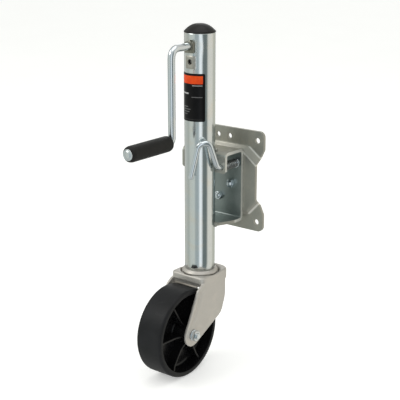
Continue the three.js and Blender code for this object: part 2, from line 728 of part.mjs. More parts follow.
function fork() {
  const skirt = FORK_TOP - FORK_SKIRT_BOTTOM;
  const ease = 3;
  const bevel = { bevelEnabled: true, bevelThickness: ease, bevelSize: ease, bevelSegments: 2 };
  bevel.curveSegments = 4;
  const tray = extruded(forkTopOutline(ease), skirt, bevel).translate(0, 0, FORK_SKIRT_BOTTOM - ease);
  const cap = common(tray, box(-60, 60, -60, 60, FORK_SKIRT_BOTTOM, FORK_TOP));
  const hollow = extruded(forkTopOutline(FORK_SHEET), skirt).translate(0, 0, FORK_SKIRT_BOTTOM - FORK_SHEET);
  const legs = [
    prismX(legOutline(), FORK_INNER, FORK_HALF_WIDTH),
    prismX(legOutline(), -FORK_HALF_WIDTH, -FORK_INNER),
  ];
  const race = ring(27, 33, FORK_TOP - 1, FORK_TOP + 1.2);
  const bore = rodZ(KINGPIN_R + 0.4, FORK_SKIRT_BOTTOM, FORK_TOP + 5, 0, 0, 24);
  const axle = rodX(AXLE_R + 0.3, -60, 60, AXLE_Y, AXLE_Z);
  return combine(combine(cap, [], [hollow]), [...legs, race], [bore, axle]);
}

function ballRing() {
  const middle = (FORK_TOP + RACE_BOTTOM) / 2;
  const [pitch, balls, ballR] = [22, 8, 1.55];
  const cage = ring(pitch - 2.2, pitch + 2.2, middle - 0.6, middle + 0.6, 20);
  const spheres = [];
  for (let i = 0; i < balls; i += 1) {
    const angle = 2 * Math.PI * i / balls;
    const sphere = new THREE.SphereGeometry(ballR, 6, 4);
    spheres.push(sphere.translate(pitch * Math.cos(angle), pitch * Math.sin(angle), middle));
  }
  return combine(cage, spheres, []);
}

piece('fork', fork(), SATIN_ZINC);
piece('ball_ring', ballRing(), DARK_STEEL);

// ---------------------------------------------------------------- axle and wheel

const AXLE_END = FORK_HALF_WIDTH + 11;
const AXLE_HEX = 16;
const AXLE_WASHER_R = 13;
const BUSHING_INNER_END = 10;

function axleBolt() {
  const shank = rodX(AXLE_R, -FORK_HALF_WIDTH - 2, AXLE_END, AXLE_Y, AXLE_Z);
  const head = ontoX(extruded(hexagon(AXLE_HEX), 6)).translate(-FORK_HALF_WIDTH - GAP - 6, AXLE_Y, AXLE_Z);
  return combine(head, [shank], []);
}

function axleNut() {
  const hex = ontoX(extruded(hexagon(AXLE_HEX), 7.5)).translate(FORK_HALF_WIDTH + GAP, AXLE_Y, AXLE_Z);
  return combine(hex, [], [rodX(AXLE_R + 0.3, 0, 60, AXLE_Y, AXLE_Z)]);
}

function sleeveX(inner, outer, x0, x1) {
  return ontoX(ring(inner, outer, x0, x1, 18)).translate(0, AXLE_Y, AXLE_Z);
}

const axleWasher = (x0, x1) => sleeveX(SLEEVE_R + GAP, AXLE_WASHER_R, x0, x1);
const hubBushing = (x0, x1) => sleeveX(SLEEVE_R + GAP, BUSHING_R, x0, x1);

// Half of the wheel's section, from the hub's bore to the tread, mirrored for the other face.
function wheel() {
  const [hubR, rimR, shoulder] = [17, 67.5, 5];
  const [web, half] = [3, WHEEL_HALF_WIDTH];
  const bore = BUSHING_R + 0.3;
  const side = [
    [bore, HUB_HALF], [hubR - 1.5, HUB_HALF], [hubR, HUB_HALF - 1.5], [hubR + 2, web], [rimR - 3, web],
    [rimR, half - 1], [rimR + 1, half], [WHEEL_R - shoulder, half], [WHEEL_R - 1.4, half - 1.4],
    [WHEEL_R, half - shoulder],
  ];
  const other = side.map(([r, x]) => [r, -x]).reverse();
  const disc = turned([...side, ...other], 36);
  const ribs = [];
  const spokes = 6;
  for (let i = 0; i < spokes; i += 1) {
    const rib = box(hubR - 2, rimR + 1, -2, 2, -half + 6, half - 6);
    ribs.push(rib.rotateZ(2 * Math.PI * (i + 0.5) / spokes));
  }
  return ontoX(combine(disc, ribs, [])).translate(0, AXLE_Y, AXLE_Z);
}

piece('axle_bolt', axleBolt(), BRIGHT_ZINC);
piece('axle_nut', axleNut(), BRIGHT_ZINC);
piece('axle_sleeve', sleeveX(AXLE_R + 0.3, SLEEVE_R, -FORK_INNER + GAP, FORK_INNER - GAP), DARK_STEEL);
piece('axle_washer_left', axleWasher(-FORK_INNER + GAP, -HUB_HALF - GAP), BRIGHT_ZINC);
piece('axle_washer_right', axleWasher(HUB_HALF + GAP, FORK_INNER - GAP), BRIGHT_ZINC);
piece('wheel', wheel(), BLACK_POLY);
piece('hub_bushing_left', hubBushing(-HUB_HALF, -BUSHING_INNER_END), BLACK_PLASTIC);
piece('hub_bushing_right', hubBushing(BUSHING_INNER_END, HUB_HALF), BLACK_PLASTIC);

// ---------------------------------------------------------------- pull pin

function pullPin() {
  return bar([
    [PIN_X, PIN_TIP_Y, PIN_Z], [PIN_X, 1, PIN_Z], [34, -22, 401], [21, -35, 399], [9, -36, 337],
  ], [10, 9, 9], PIN_R, 36, 8);
}

class Coil extends THREE.Curve {
  constructor(radius, turns, length) {
    super();
    Object.assign(this, { radius, turns, length });
  }

  getPoint(t, target = new THREE.Vector3()) {
    const angle = 2 * Math.PI * this.turns * t;
    return target.set(this.radius * Math.cos(angle), this.length * t, this.radius * Math.sin(angle));
  }
}

function pinSpring() {
  const wire = 0.9;
  const start = LIP_FRONT_Y + SHEET + GAP + wire;
  const end = PIN_COLLAR_Y - GAP - wire;
  const coil = new Coil(6.6, 8, end - start);
  return swept(coil, wire, 64, 4).translate(PIN_X, start, PIN_Z);
}

function pinCollar() {
  return ontoMinusY(ring(PIN_R + 0.25, 8.5, 0, 2.4, 16)).translate(PIN_X, PIN_COLLAR_Y + 2.4, PIN_Z);
}

piece('pull_pin', pullPin(), BRIGHT_ZINC);
piece('pin_collar', pinCollar(), BRIGHT_ZINC);
piece('pin_spring', pinSpring(), DARK_STEEL);

// ---------------------------------------------------------------- origin at the tongue face

jack.position.set(0, -PLATE_BACK_Y, -FLANGE_Z);
const group = new THREE.Group();
group.add(jack);

export default group;
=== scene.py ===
import json
import math

import bmesh
import bpy
import numpy as np
from mathutils import Matrix, Vector
from mathutils.geometry import delaunay_2d_cdt


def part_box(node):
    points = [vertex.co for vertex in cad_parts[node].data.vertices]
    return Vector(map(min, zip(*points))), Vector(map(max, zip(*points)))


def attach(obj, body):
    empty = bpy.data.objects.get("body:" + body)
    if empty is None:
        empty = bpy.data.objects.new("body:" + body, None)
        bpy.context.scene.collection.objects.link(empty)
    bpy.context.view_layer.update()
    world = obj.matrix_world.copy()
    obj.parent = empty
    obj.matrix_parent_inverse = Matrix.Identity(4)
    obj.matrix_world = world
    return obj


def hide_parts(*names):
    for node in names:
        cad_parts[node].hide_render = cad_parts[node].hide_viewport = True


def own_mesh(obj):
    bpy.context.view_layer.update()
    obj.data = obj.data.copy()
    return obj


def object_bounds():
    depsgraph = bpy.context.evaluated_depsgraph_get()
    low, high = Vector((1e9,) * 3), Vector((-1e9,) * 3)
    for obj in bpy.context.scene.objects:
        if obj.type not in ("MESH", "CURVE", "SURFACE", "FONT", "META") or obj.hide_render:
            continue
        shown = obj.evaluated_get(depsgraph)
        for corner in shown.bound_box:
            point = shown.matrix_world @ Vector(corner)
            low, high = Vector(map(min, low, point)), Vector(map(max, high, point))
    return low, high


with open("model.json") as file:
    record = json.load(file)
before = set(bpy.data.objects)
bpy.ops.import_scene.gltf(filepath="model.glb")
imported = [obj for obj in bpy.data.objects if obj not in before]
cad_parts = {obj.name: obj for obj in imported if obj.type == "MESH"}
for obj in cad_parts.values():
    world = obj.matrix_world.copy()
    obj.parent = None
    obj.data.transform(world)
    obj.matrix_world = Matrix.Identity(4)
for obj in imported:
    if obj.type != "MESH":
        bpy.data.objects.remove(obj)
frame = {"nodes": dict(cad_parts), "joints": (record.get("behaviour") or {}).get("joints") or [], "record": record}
cad_low, cad_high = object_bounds()
record = frame["record"]
body_of = {n: b for b, members in record["behaviour"]["bodies"].items() for n in members}
slot_of = {row["node"]: row["material_slot"] for row in record["subparts"]}
joints = {j["name"]: j for j in frame["joints"]}

MM = 0.001
TAU = 2 * math.pi

# Pieces are modelled in millimetres about the tube's axis, with z = 0 where the wheel stands.
tube_low, tube_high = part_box("outer_tube")
wheel_low, wheel_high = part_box("wheel")
ORIGIN = Vector(((tube_low.x + tube_high.x) / 2, (tube_low.y + tube_high.y) / 2, wheel_low.z))


def at(x, y, z):
    return ORIGIN + Vector((x, y, z)) * MM


def span(node):
    """The node's box in the modelling frame: ((x0, x1), (y0, y1), (z0, z1)), in millimetres."""
    low, high = ((corner - ORIGIN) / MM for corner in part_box(node))
    return [(low[i], high[i]) for i in range(3)]


def joint_at(name):
    """The joint's place in the modelling frame."""
    return [(value - start) / MM for value, start in zip(joints[name]["pos_m"], ORIGIN)]


# ---- outlines

def rounded(corners, steps=5):
    """Closed outline through corners (u, v, radius), each corner rounded by its radius."""
    points = []
    count = len(corners)
    for i, (u, v, radius) in enumerate(corners):
        here = Vector((u, v))
        back = (Vector(corners[i - 1][:2]) - here).normalized()
        ahead = (Vector(corners[(i + 1) % count][:2]) - here).normalized()
        half = back.angle(ahead) / 2
        if radius <= 0 or half > math.pi / 2 - 0.01:
            points.append(tuple(here))
            continue
        cut = radius / math.tan(half)
        centre = here + (back + ahead).normalized() * (radius / math.sin(half))
        start = here + back * cut - centre
        end = here + ahead * cut - centre
        turn = start.angle_signed(end)
        for k in range(steps + 1):
            spoke = start.copy()
            spoke.rotate(Matrix.Rotation(-turn * k / steps, 2))
            points.append(tuple(centre + spoke))
    return points


def box_outline(u0, u1, v0, v1, radius):
    return rounded([(u0, v0, radius), (u1, v0, radius), (u1, v1, radius), (u0, v1, radius)])


def circle(u, v, radius, count):
    angles = [TAU * i / count for i in range(count)]
    return [(u + radius * math.cos(a), v + radius * math.sin(a)) for a in angles]


def divided(loop, step):
    """The loop with no edge longer than step."""
    points = []
    for i, (u, v) in enumerate(loop):
        u2, v2 = loop[(i + 1) % len(loop)]
        parts = max(1, math.ceil(math.hypot(u2 - u, v2 - v) / step - 1e-6))
        points += [(u + (u2 - u) * k / parts, v + (v2 - v) * k / parts) for k in range(parts)]
    return points


def inside(points, loop):
    """Which of the points (n x 2) lie inside the loop."""
    p = np.asarray(points, float)
    found = np.zeros(len(p), bool)
    for i, (u2, v2) in enumerate(loop):
        u1, v1 = loop[i - 1]
        if v1 == v2:
            continue
        crosses = (v1 > p[:, 1]) != (v2 > p[:, 1])
        found ^= crosses & (p[:, 0] < (u2 - u1) * (p[:, 1] - v1) / (v2 - v1) + u1)
    return found


def within(points, outline, holes):
    """Which of the points lie inside the outline and outside its holes."""
    found = inside(points, outline)
    for hole in holes:
        found &= ~inside(points, hole)
    return found


def distance(points, line, closed=True):
    """Distance of each point (n x 2) from the line."""
    p = np.asarray(points, float)
    best = np.full(len(p), 1e9)
    for i in range(0 if closed else 1, len(line)):
        a, b = np.array(line[i - 1], float), np.array(line[i], float)
        along = b - a
        t = np.clip((p - a) @ along / max(along @ along, 1e-12), 0, 1)
        best = np.minimum(best, np.linalg.norm(p - a - t[:, None] * along, axis=1))
    return best


def clear(points, loops, gap):
    """Which of the points are further than gap from every loop."""
    return np.all([distance(points, loop) > gap for loop in loops], axis=0)


def ease(t):
    """Smooth step from 0 at t = 0 to 1 at t = 1."""
    t = min(1.0, max(0.0, t))
    return t * t * (3 - 2 * t)


def ramp(t, soft):
    """Straight ramp from 0 to 1 whose two corners are rounded over soft."""
    def area(x):
        return 0 if x < 0 else x * x / 2 if x < 1 else x - 0.5
    return (area(t + soft) - area(t - soft)) / (2 * soft)


# ---- meshes

# A part is a pair of lists: points in modelling millimetres, and faces.

def joined(*parts):
    verts, faces = [], []
    for part_verts, part_faces in parts:
        start = len(verts)
        verts += part_verts
        faces += [tuple(start + i for i in face) for face in part_faces]
    return verts, faces


def moved(part, move):
    return [move(*v) for v in part[0]], part[1]


def shifted(part, dx=0, dy=0, dz=0):
    return moved(part, lambda x, y, z: (x + dx, y + dy, z + dz))


def onto_x(part):
    return moved(part, lambda x, y, z: (z, x, y))


def onto_y(part):
    return moved(part, lambda x, y, z: (x, z, -y))


def onto_minus_y(part):
    return moved(part, lambda x, y, z: (x, -z, y))


def loft(rows):
    """Surface through closed rows of points. A row of one point is a pole; without poles the ends meet."""
    verts, starts = [], []
    for row in rows:
        starts.append(len(verts))
        verts += row
    faces = []
    count = len(rows)
    last = count if len(rows[0]) > 1 and len(rows[-1]) > 1 else count - 1
    for i in range(last):
        a, b = starts[i], starts[(i + 1) % count]
        na, nb = len(rows[i]), len(rows[(i + 1) % count])
        for k in range(max(na, nb)):
            m = (k + 1) % max(na, nb)
            if na == 1:
                faces.append((a, b + k, b + m))
            elif nb == 1:
                faces.append((a + k, b, a + m))
            else:
                faces.append((a + k, b + k, b + m, a + m))
    return verts, faces


def lathe(profile, sides=96):
    """Profile of (radius, height) turned about Z. It starts and ends on the axis, or closes on itself."""
    rows = []
    for radius, height in profile:
        on_axis = radius < 1e-6
        rows.append([(0, 0, height)] if on_axis else [(x, y, height) for x, y in circle(0, 0, radius, sides)])
    return loft(rows)


def ring(inner, outer, bottom, top, soft=0.6, sides=96, steps=3):
    corners = [(inner, bottom), (outer, bottom), (outer, top), (inner, top)]
    return lathe(rounded([(r, h, soft) for r, h in corners], steps), sides)


def sweep(points, radius, sides=24, dome=0.5, steps=4):
    """Round bar along the points, with one radius or one for each. Its ends are domed by a share of it."""
    points = [Vector(p) for p in points]
    radii = radius if hasattr(radius, "__len__") else [radius] * len(points)
    last = len(points) - 1
    tangents = [(points[min(i + 1, last)] - points[max(i - 1, 0)]).normalized() for i in range(last + 1)]
    side = tangents[0].orthogonal().normalized()
    rows = []

    def row(centre, tangent, reach):
        up = tangent.cross(side).normalized()
        rows.append([tuple(centre + (side * c + up * s) * reach) for c, s in circle(0, 0, 1, sides)])

    def dome_row(k, end, outward):
        angle = math.pi / 2 * k / steps
        centre = points[end] + tangents[end] * (outward * radii[end] * dome * math.sin(angle))
        if k == steps:
            rows.append([tuple(centre)])
        else:
            row(centre, tangents[end], radii[end] * math.cos(angle))

    for k in range(steps, 0, -1):
        dome_row(k, 0, -1)
    for point, tangent, reach in zip(points, tangents, radii):
        side = (side - tangent * side.dot(tangent)).normalized()
        row(point, tangent, reach)
    for k in range(1, steps + 1):
        dome_row(k, last, 1)
    return loft(rows)


def bent_line(corners, easing, step=2.0):
    """Points along straight runs whose inner corners are eased by a curve over the given distances."""
    corners = [Vector(c) for c in corners]
    points = [corners[0]]
    for i in range(1, len(corners) - 1):
        cut = easing[i - 1]
        entry = corners[i] + (corners[i - 1] - corners[i]).normalized() * cut
        leave = corners[i] + (corners[i + 1] - corners[i]).normalized() * cut
        run = max(1, round((entry - points[-1]).length / (4 * step)))
        points += [points[-1].lerp(entry, k / run) for k in range(1, run + 1)]
        turns = max(6, round(2 * cut / step))
        for k in range(1, turns + 1):
            t = k / turns
            points.append(entry * (1 - t) ** 2 + corners[i] * (2 * t * (1 - t)) + leave * t ** 2)
    run = max(1, round((corners[-1] - points[-1]).length / (4 * step)))
    points += [points[-1].lerp(corners[-1], k / run) for k in range(1, run + 1)]
    return points


def cut_metal(outline, holes, inner, place, thickness, no_wall=None):
    """Sheet of small triangles through the inner points, put in place by place(u, v, depth)."""
    points, edges = [], []
    for loop in [outline, *holes]:
        first = len(points)
        points += loop
        edges += [(first + i, first + (i + 1) % len(loop)) for i in range(len(loop))]
    points += [tuple(p) for p in inner]
    flat, _, triangles, *_ = delaunay_2d_cdt([Vector(p) for p in points], edges, [], 0, 1e-6)
    middles = np.array([np.mean([flat[i] for i in t], axis=0) for t in triangles])
    triangles = [t for t, good in zip(triangles, within(middles, outline, holes)) if good]
    count = len(flat)
    verts = [place(p.x, p.y, depth) for depth in (0, thickness) for p in flat]
    faces, seen = [], {}
    for t in triangles:
        faces.append(tuple(t))
        faces.append(tuple(count + i for i in reversed(t)))
        for a, b in zip(t, [*t[1:], t[0]]):
            seen.setdefault((min(a, b), max(a, b)), []).append((a, b))
    for sides in seen.values():
        a, b = sides[0]
        if len(sides) == 1 and not (no_wall and no_wall(flat[a], flat[b])):
            faces.append((b, a, count + a, count + b))
    return verts, faces


def sheet(outline, holes, step, place, thickness, fine=None):
    """Sheet metal on a square grid, which is twice as fine where fine(u, v) says so."""
    outline = divided(outline, step)
    holes = [divided(hole, step) for hole in holes]
    us, vs = zip(*outline)
    pitch = step / 2 if fine else step
    columns = round((max(us) - min(us)) / pitch)
    rows = round((max(vs) - min(vs)) / pitch)
    grid = []
    for i in range(1, columns):
        for j in range(1, rows):
            u = min(us) + (max(us) - min(us)) * i / columns
            v = min(vs) + (max(vs) - min(vs)) * j / rows
            if not fine or (i % 2 == 0 and j % 2 == 0) or fine(u, v):
                grid.append((u, v))
    grid = np.array(grid)
    keep = within(grid, outline, holes) & clear(grid, [outline, *holes], 0.45 * pitch)
    return cut_metal(outline, holes, grid[keep], place, thickness)


def hexagon(across, height, bore=0.0):
    """Hexagon along Z from 0 to height, its corners cut off by a 30 degree cone at the top and the bottom."""
    sides = 60
    flat = across / 2
    face = 0.95 * flat
    crown = 0.25
    bore_chamfer = 0.7

    def row(reach, z):
        return [(x, y, z) for x, y in circle(0, 0, reach, sides)]

    def corner_row(z, inward):
        points = []
        for i in range(sides):
            angle = TAU * i / sides
            r = flat / math.cos(angle % (math.pi / 3) - math.pi / 6)
            fall = (r - face) * math.tan(math.pi / 6)
            points.append((r * math.cos(angle), r * math.sin(angle), z + inward * fall))
        return points

    rows = [corner_row(0, 1), corner_row(height, -1), row(face, height)]
    if bore:
        mouth = bore + bore_chamfer
        rows += [row(mouth, height), row(bore, height - bore_chamfer), row(bore, bore_chamfer), row(mouth, 0)]
        return loft([*rows, row(face, 0)])
    rows += [row(0.55 * face, height + crown), [(0, 0, height + crown)]]
    return loft([[(0, 0, 0)], row(face, 0), *rows])


def threaded(radius, pitch, bottom, top, depth, sides=24, hand=1, per_turn=8):
    """Threaded bar along Z with chamfered ends. hand is 1 for a right-hand thread, -1 for a left-hand one."""
    rows = [[(0, 0, bottom)]]
    count = round((top - bottom) / pitch * per_turn)
    for j in range(count + 1):
        z = bottom + (top - bottom) * j / count
        chamfer = radius - max(0.0, depth * 1.2 - min(z - bottom, top - z))
        row = []
        for i in range(sides):
            turn = (z / pitch - hand * i / sides) % 1
            groove = depth * min(1.0, max(0.0, 1.6 * abs(2 * turn - 1) - 0.3))
            r = min(radius - groove, chamfer)
            row.append((r * math.cos(TAU * i / sides), r * math.sin(TAU * i / sides), z))
        rows.append(row)
    return loft([*rows, [(0, 0, top)]])


def placed(name, data):
    """An object for the data, linked into the scene."""
    obj = bpy.data.objects.new(name, data)
    bpy.context.scene.collection.objects.link(obj)
    return obj


def add(name, part, materials, bevel=0.0, smooth=35, weld=False, pick=None):
    """A mesh object from a part in modelling millimetres, with its modifiers applied."""
    mesh = bpy.data.meshes.new(name)
    mesh.from_pydata([at(*v) for v in part[0]], [], part[1])
    bm = bmesh.new()
    bm.from_mesh(mesh)
    if weld:
        bmesh.ops.remove_doubles(bm, verts=bm.verts, dist=1e-6)
    bmesh.ops.delete(bm, geom=[v for v in bm.verts if not v.link_faces], context="VERTS")
    bmesh.ops.recalc_face_normals(bm, faces=bm.faces)
    bm.to_mesh(mesh)
    bm.free()
    obj = placed(name, mesh)
    if bevel:
        bevelled(obj, bevel, 50)
        bake(obj)
    shade(obj, smooth)
    for material in materials:
        obj.data.materials.append(material)
    if pick:
        for face in obj.data.polygons:
            face.material_index = pick((face.center - ORIGIN) / MM)
    return obj


def bevelled(obj, width, angle):
    """Bevel on the edges that are sharper than angle."""
    edge = obj.modifiers.new("bevel", "BEVEL")
    edge.width = width * MM
    edge.segments = 2
    edge.limit_method = "ANGLE"
    edge.angle_limit = math.radians(angle)
    return edge


def bake(obj):
    """Replaces the object's mesh by what its modifiers make of it."""
    graph = bpy.context.evaluated_depsgraph_get()
    done = bpy.data.meshes.new_from_object(obj.evaluated_get(graph))
    obj.modifiers.clear()
    obj.data = done


def shade(obj, angle):
    for face in obj.data.polygons:
        face.use_smooth = True
    obj.data.set_sharp_from_angle(angle=math.radians(angle))


def detail(node, part, *materials, **options):
    """A mesh piece that replaces the CAD node of that name."""
    return stands_for(add(node + "_detail", part, materials, **options), node)


def stands_for(obj, node):
    """Shows the object in place of the CAD node, on the node's body."""
    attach(obj, body_of[node])
    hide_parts(node)
    return obj


# ---- materials

class Nodes:
    """Short ways to add shader nodes to a tree."""

    def __init__(self, tree):
        self.tree = tree

    def node(self, kind, **settings):
        made = self.tree.nodes.new(kind)
        for key, value in settings.items():
            setattr(made, key, value)
        return made

    def feed(self, socket, value):
        """Sets the socket to a number or a colour, or links another node's output to it."""
        if isinstance(value, (int, float)):
            socket.default_value = value
        elif hasattr(value, "__len__"):
            socket.default_value = (*value, 1)
        else:
            self.tree.links.new(value, socket)

    def ramp(self, factor, stops):
        made = self.node("ShaderNodeValToRGB")
        elements = made.color_ramp.elements
        while len(elements) < len(stops):
            elements.new(0.5)
        for element, (position, color) in zip(elements, stops):
            element.position = position
            element.color = (*color, 1)
        self.feed(made.inputs["Fac"], factor)
        return made.outputs["Color"]

    def spread(self, factor, low, high, source=(0.3, 0.7), **settings):
        """Maps the source range of the factor onto low to high."""
        made = self.node("ShaderNodeMapRange", **settings)
        for socket, value in zip(("From Min", "From Max", "To Min", "To Max"), (*source, low, high)):
            made.inputs[socket].default_value = value
        self.feed(made.inputs["Value"], factor)
        return made.outputs["Result"]

    def maths(self, operation, *values):
        made = self.node("ShaderNodeMath", operation=operation)
        for socket, value in zip(made.inputs, values):
            self.feed(socket, value)
        return made.outputs["Value"]

    def mix(self, *values):
        """Mixes two colours: (factor, first, second)."""
        made = self.node("ShaderNodeMix", data_type="RGBA")
        for socket, value in zip([s for s in made.inputs if s.enabled], values):
            self.feed(socket, value)
        return [s for s in made.outputs if s.enabled][0]

    def split(self, vector):
        made = self.node("ShaderNodeSeparateXYZ")
        self.feed(made.inputs[0], vector)
        return made.outputs


class Shader(Nodes):
    """A Principled material whose colour, roughness and relief come from the object's own coordinates."""

    def __init__(self, name, metallic=0.0, shine=0.5):
        self.material = bpy.data.materials.new(name)
        self.material.use_nodes = True
        super().__init__(self.material.node_tree)
        self.principled = self.tree.nodes["Principled BSDF"]
        self.principled.inputs["Metallic"].default_value = metallic
        self.principled.inputs["Specular IOR Level"].default_value = shine
        self.where = self.node("ShaderNodeTexCoord").outputs["Object"]

    def noise(self, scale, detail_level=3.0, stretch=None, rough=0.5, distortion=0.0):
        made = self.node("ShaderNodeTexNoise")
        settings = {"Scale": scale, "Detail": detail_level, "Roughness": rough, "Distortion": distortion}
        for socket, value in settings.items():
            made.inputs[socket].default_value = value
        where = self.where
        if stretch:
            mapping = self.node("ShaderNodeMapping")
            mapping.inputs["Scale"].default_value = stretch
            self.feed(mapping.inputs["Vector"], where)
            where = mapping.outputs["Vector"]
        self.feed(made.inputs["Vector"], where)
        return made.outputs["Fac"]

    def relief(self, *layers):
        """Bump layers of (height, strength, distance in millimetres)."""
        normal = None
        for height, strength, reach in layers:
            bump = self.node("ShaderNodeBump")
            bump.inputs["Strength"].default_value = strength
            bump.inputs["Distance"].default_value = reach * MM
            self.feed(bump.inputs["Height"], height)
            if normal is not None:
                self.feed(bump.inputs["Normal"], normal)
            normal = bump.outputs["Normal"]
        self.feed(self.principled.inputs["Normal"], normal)

    def done(self, color, roughness):
        self.feed(self.principled.inputs["Base Color"], color)
        self.feed(self.principled.inputs["Roughness"], roughness)
        return self.material


def tint(color, share):
    return tuple(c * share for c in color)


def zinc(name, cool, warm, rough, grain, drawn, speckle=0.04, metallic=1.0, highlit_folds=()):
    """Zinc plate or bare metal: cloudy patches of two tints, drawing lines, fine grain, a few scratches, and
    painted highlights along the highlit folds.
    """
    s = Shader(name, metallic)
    cloud = s.noise(26, 5.0, rough=0.62, distortion=0.8)
    fleck = s.noise(900, 2.0)
    lines = s.noise(700, 2.0, stretch=drawn)
    color = s.ramp(cloud, [(0.3, tint(cool, 0.96)), (0.5, cool), (0.72, warm)])
    color = s.mix(s.spread(fleck, 0.0, speckle), color, tint(cool, 0.55))
    scratch = s.noise(260, 1.0, stretch=(1, 0.06, 0.5), distortion=1.5)
    mark = s.spread(scratch, 0.0, 1.0, (0.70, 0.76))
    color = s.mix(s.maths("MULTIPLY", mark, 0.25), color, tint(warm, 1.12))
    color = paint_fold_highlights(s, color, highlit_folds)
    base = s.spread(cloud, rough - grain, rough + grain)
    streaks = s.spread(lines, -grain / 2, grain / 2)
    s.relief((lines, 0.08, 0.05), (fleck, 0.06, 0.05), (mark, 0.1, 0.03))
    return s.done(color, s.maths("ADD", base, streaks))


def paint_fold_highlights(s, color, highlit_folds):
    """Painted highlights: lightens the colour in thin lines along the folds, standing for light caught there:
    (across, up, distance, end), in millimetres from the middle.
    """
    position = s.split(s.where)
    middle = at(0, 0, PLATE_Z)
    across = s.maths("ABSOLUTE", s.maths("SUBTRACT", position["X"], middle.x))
    rise = s.maths("SUBTRACT", position["Z"], middle.z)
    for share_x, share_z, reach, end in highlit_folds:
        place = s.maths("ADD", s.maths("MULTIPLY", across, share_x), s.maths("MULTIPLY", rise, share_z))
        away = s.maths("ABSOLUTE", s.maths("SUBTRACT", place, reach * MM))
        highlight_mask = s.spread(away, 0.9, 0.0, (0.8 * MM, 2.0 * MM))
        limit = s.maths("LESS_THAN", s.maths("ABSOLUTE", rise), end * MM)
        # The light colour laid along each fold line is a painted highlight.
        color = s.mix(s.maths("MULTIPLY", highlight_mask, limit), color, (0.86, 0.85, 0.80))
    return color


def plastic(name, base, rough, pebble, height, dust=0.25, stretch=None, shine=0.25):
    """Moulded plastic: fine pebble, slight blotches, and dust or scuffs that lighten it in places."""
    s = Shader(name, shine=shine)
    blotch = s.noise(35, 3.0, distortion=0.4)
    grain = s.noise(pebble, 2.0, stretch=stretch)
    color = s.ramp(blotch, [(0.3, tint(base, 0.8)), (0.7, tint(base, 1.25))])
    scuff = s.noise(130, 5.0, stretch=(0.4, 1.0, 1.0), distortion=1.0)
    mark = s.spread(scuff, 0.0, dust, (0.62, 0.8))
    color = s.mix(mark, color, tuple(0.06 + 0.6 * c for c in base))
    roughness = s.maths("ADD", s.spread(blotch, rough - 0.05, rough + 0.05), s.maths("MULTIPLY", mark, 0.3))
    s.relief((grain, height, 0.12), (blotch, 0.05, 0.2))
    return s.done(color, roughness)


PLATE_Z = 318.5
# Stretches of the noise for the lines of drawing, turning and rolling.
DRAWN = (1, 1, 0.02)
TURNED = (1, 1, 0.05)
ROLLED = (1, 0.3, 0.3)
SATIN_TINTS = (0.42, 0.415, 0.37), (0.50, 0.485, 0.42)
# Fold lines of the pan that get a painted highlight.
FOLD_HIGHLIGHT_LINES = [(0.604, 0.797, 79, 59), (0.604, 0.797, 65.5, 52), (0.729, -0.685, 79.5, 59)]

BRIGHT = zinc("bright_zinc_plate", (0.74, 0.78, 0.78), (0.78, 0.77, 0.72), 0.15, 0.03, DRAWN)
BLUE = zinc("blue_white_zinc", (0.74, 0.80, 0.84), (0.80, 0.82, 0.82), 0.17, 0.03, TURNED)
SATIN = zinc("satin_zinc_plate", *SATIN_TINTS, 0.40, 0.06, ROLLED, 0.16, 0.8)
# The mounting plate's zinc, with painted highlights along the pan's folds.
FOLD_HIGHLIGHT_ZINC = zinc("fold_highlight_zinc_plate", *SATIN_TINTS, 0.40, 0.06, ROLLED, 0.16, 0.8, FOLD_HIGHLIGHT_LINES)
# Darker zinc for the inside of the channel: painted shade.
PAINTED_SHADE_ZINC = zinc("painted_shade_zinc_plate", (0.33, 0.375, 0.365), (0.40, 0.43, 0.415), 0.36, 0.06, ROLLED, 0.14, 0.85)
# Lighter zinc for the channel's cut edges: a painted highlight.
EDGE_HIGHLIGHT_ZINC = zinc("painted_highlight_edge_zinc", (0.70, 0.70, 0.65), (0.76, 0.75, 0.69), 0.45, 0.05, ROLLED, 0.05, 0.6)
FORK_ZINC = zinc("fork_zinc_plate", (0.58, 0.555, 0.515), (0.64, 0.60, 0.55), 0.44, 0.06, ROLLED, 0.08, 0.55)
OLIVE = zinc("olive_steel", (0.27, 0.27, 0.23), (0.32, 0.31, 0.26), 0.42, 0.05, ROLLED, 0.1)
STEEL = zinc("dark_steel", (0.30, 0.30, 0.29), (0.36, 0.35, 0.32), 0.38, 0.06, TURNED, 0.1)
BRONZE = zinc("bronze", (0.55, 0.42, 0.22), (0.62, 0.48, 0.26), 0.33, 0.05, TURNED, 0.1)
DULL = zinc("dull_zinc_plate", (0.52, 0.50, 0.45), (0.58, 0.56, 0.50), 0.4, 0.05, (1, 1, 0.3), 0.1)
GRIP_BLACK = plastic("grip_black", (0.011, 0.011, 0.010), 0.5, 1400, 0.25)
CAP_BLACK = plastic("cap_black", (0.010, 0.0095, 0.009), 0.34, 1000, 0.2)
HUB_BLACK = plastic("bushing_black", (0.012, 0.012, 0.013), 0.35, 900, 0.15)
TREAD = plastic("tread_poly", (0.0125, 0.013, 0.0145), 0.45, 500, 0.2, 0.2, (6, 1, 1), 0.2)
# The wheel's sides: glossier than the tread, and darker partly as painted shade.
INNER = plastic("wheel_gloss", (0.005, 0.005, 0.0055), 0.24, 300, 0.08, 0.05, None, 0.3)


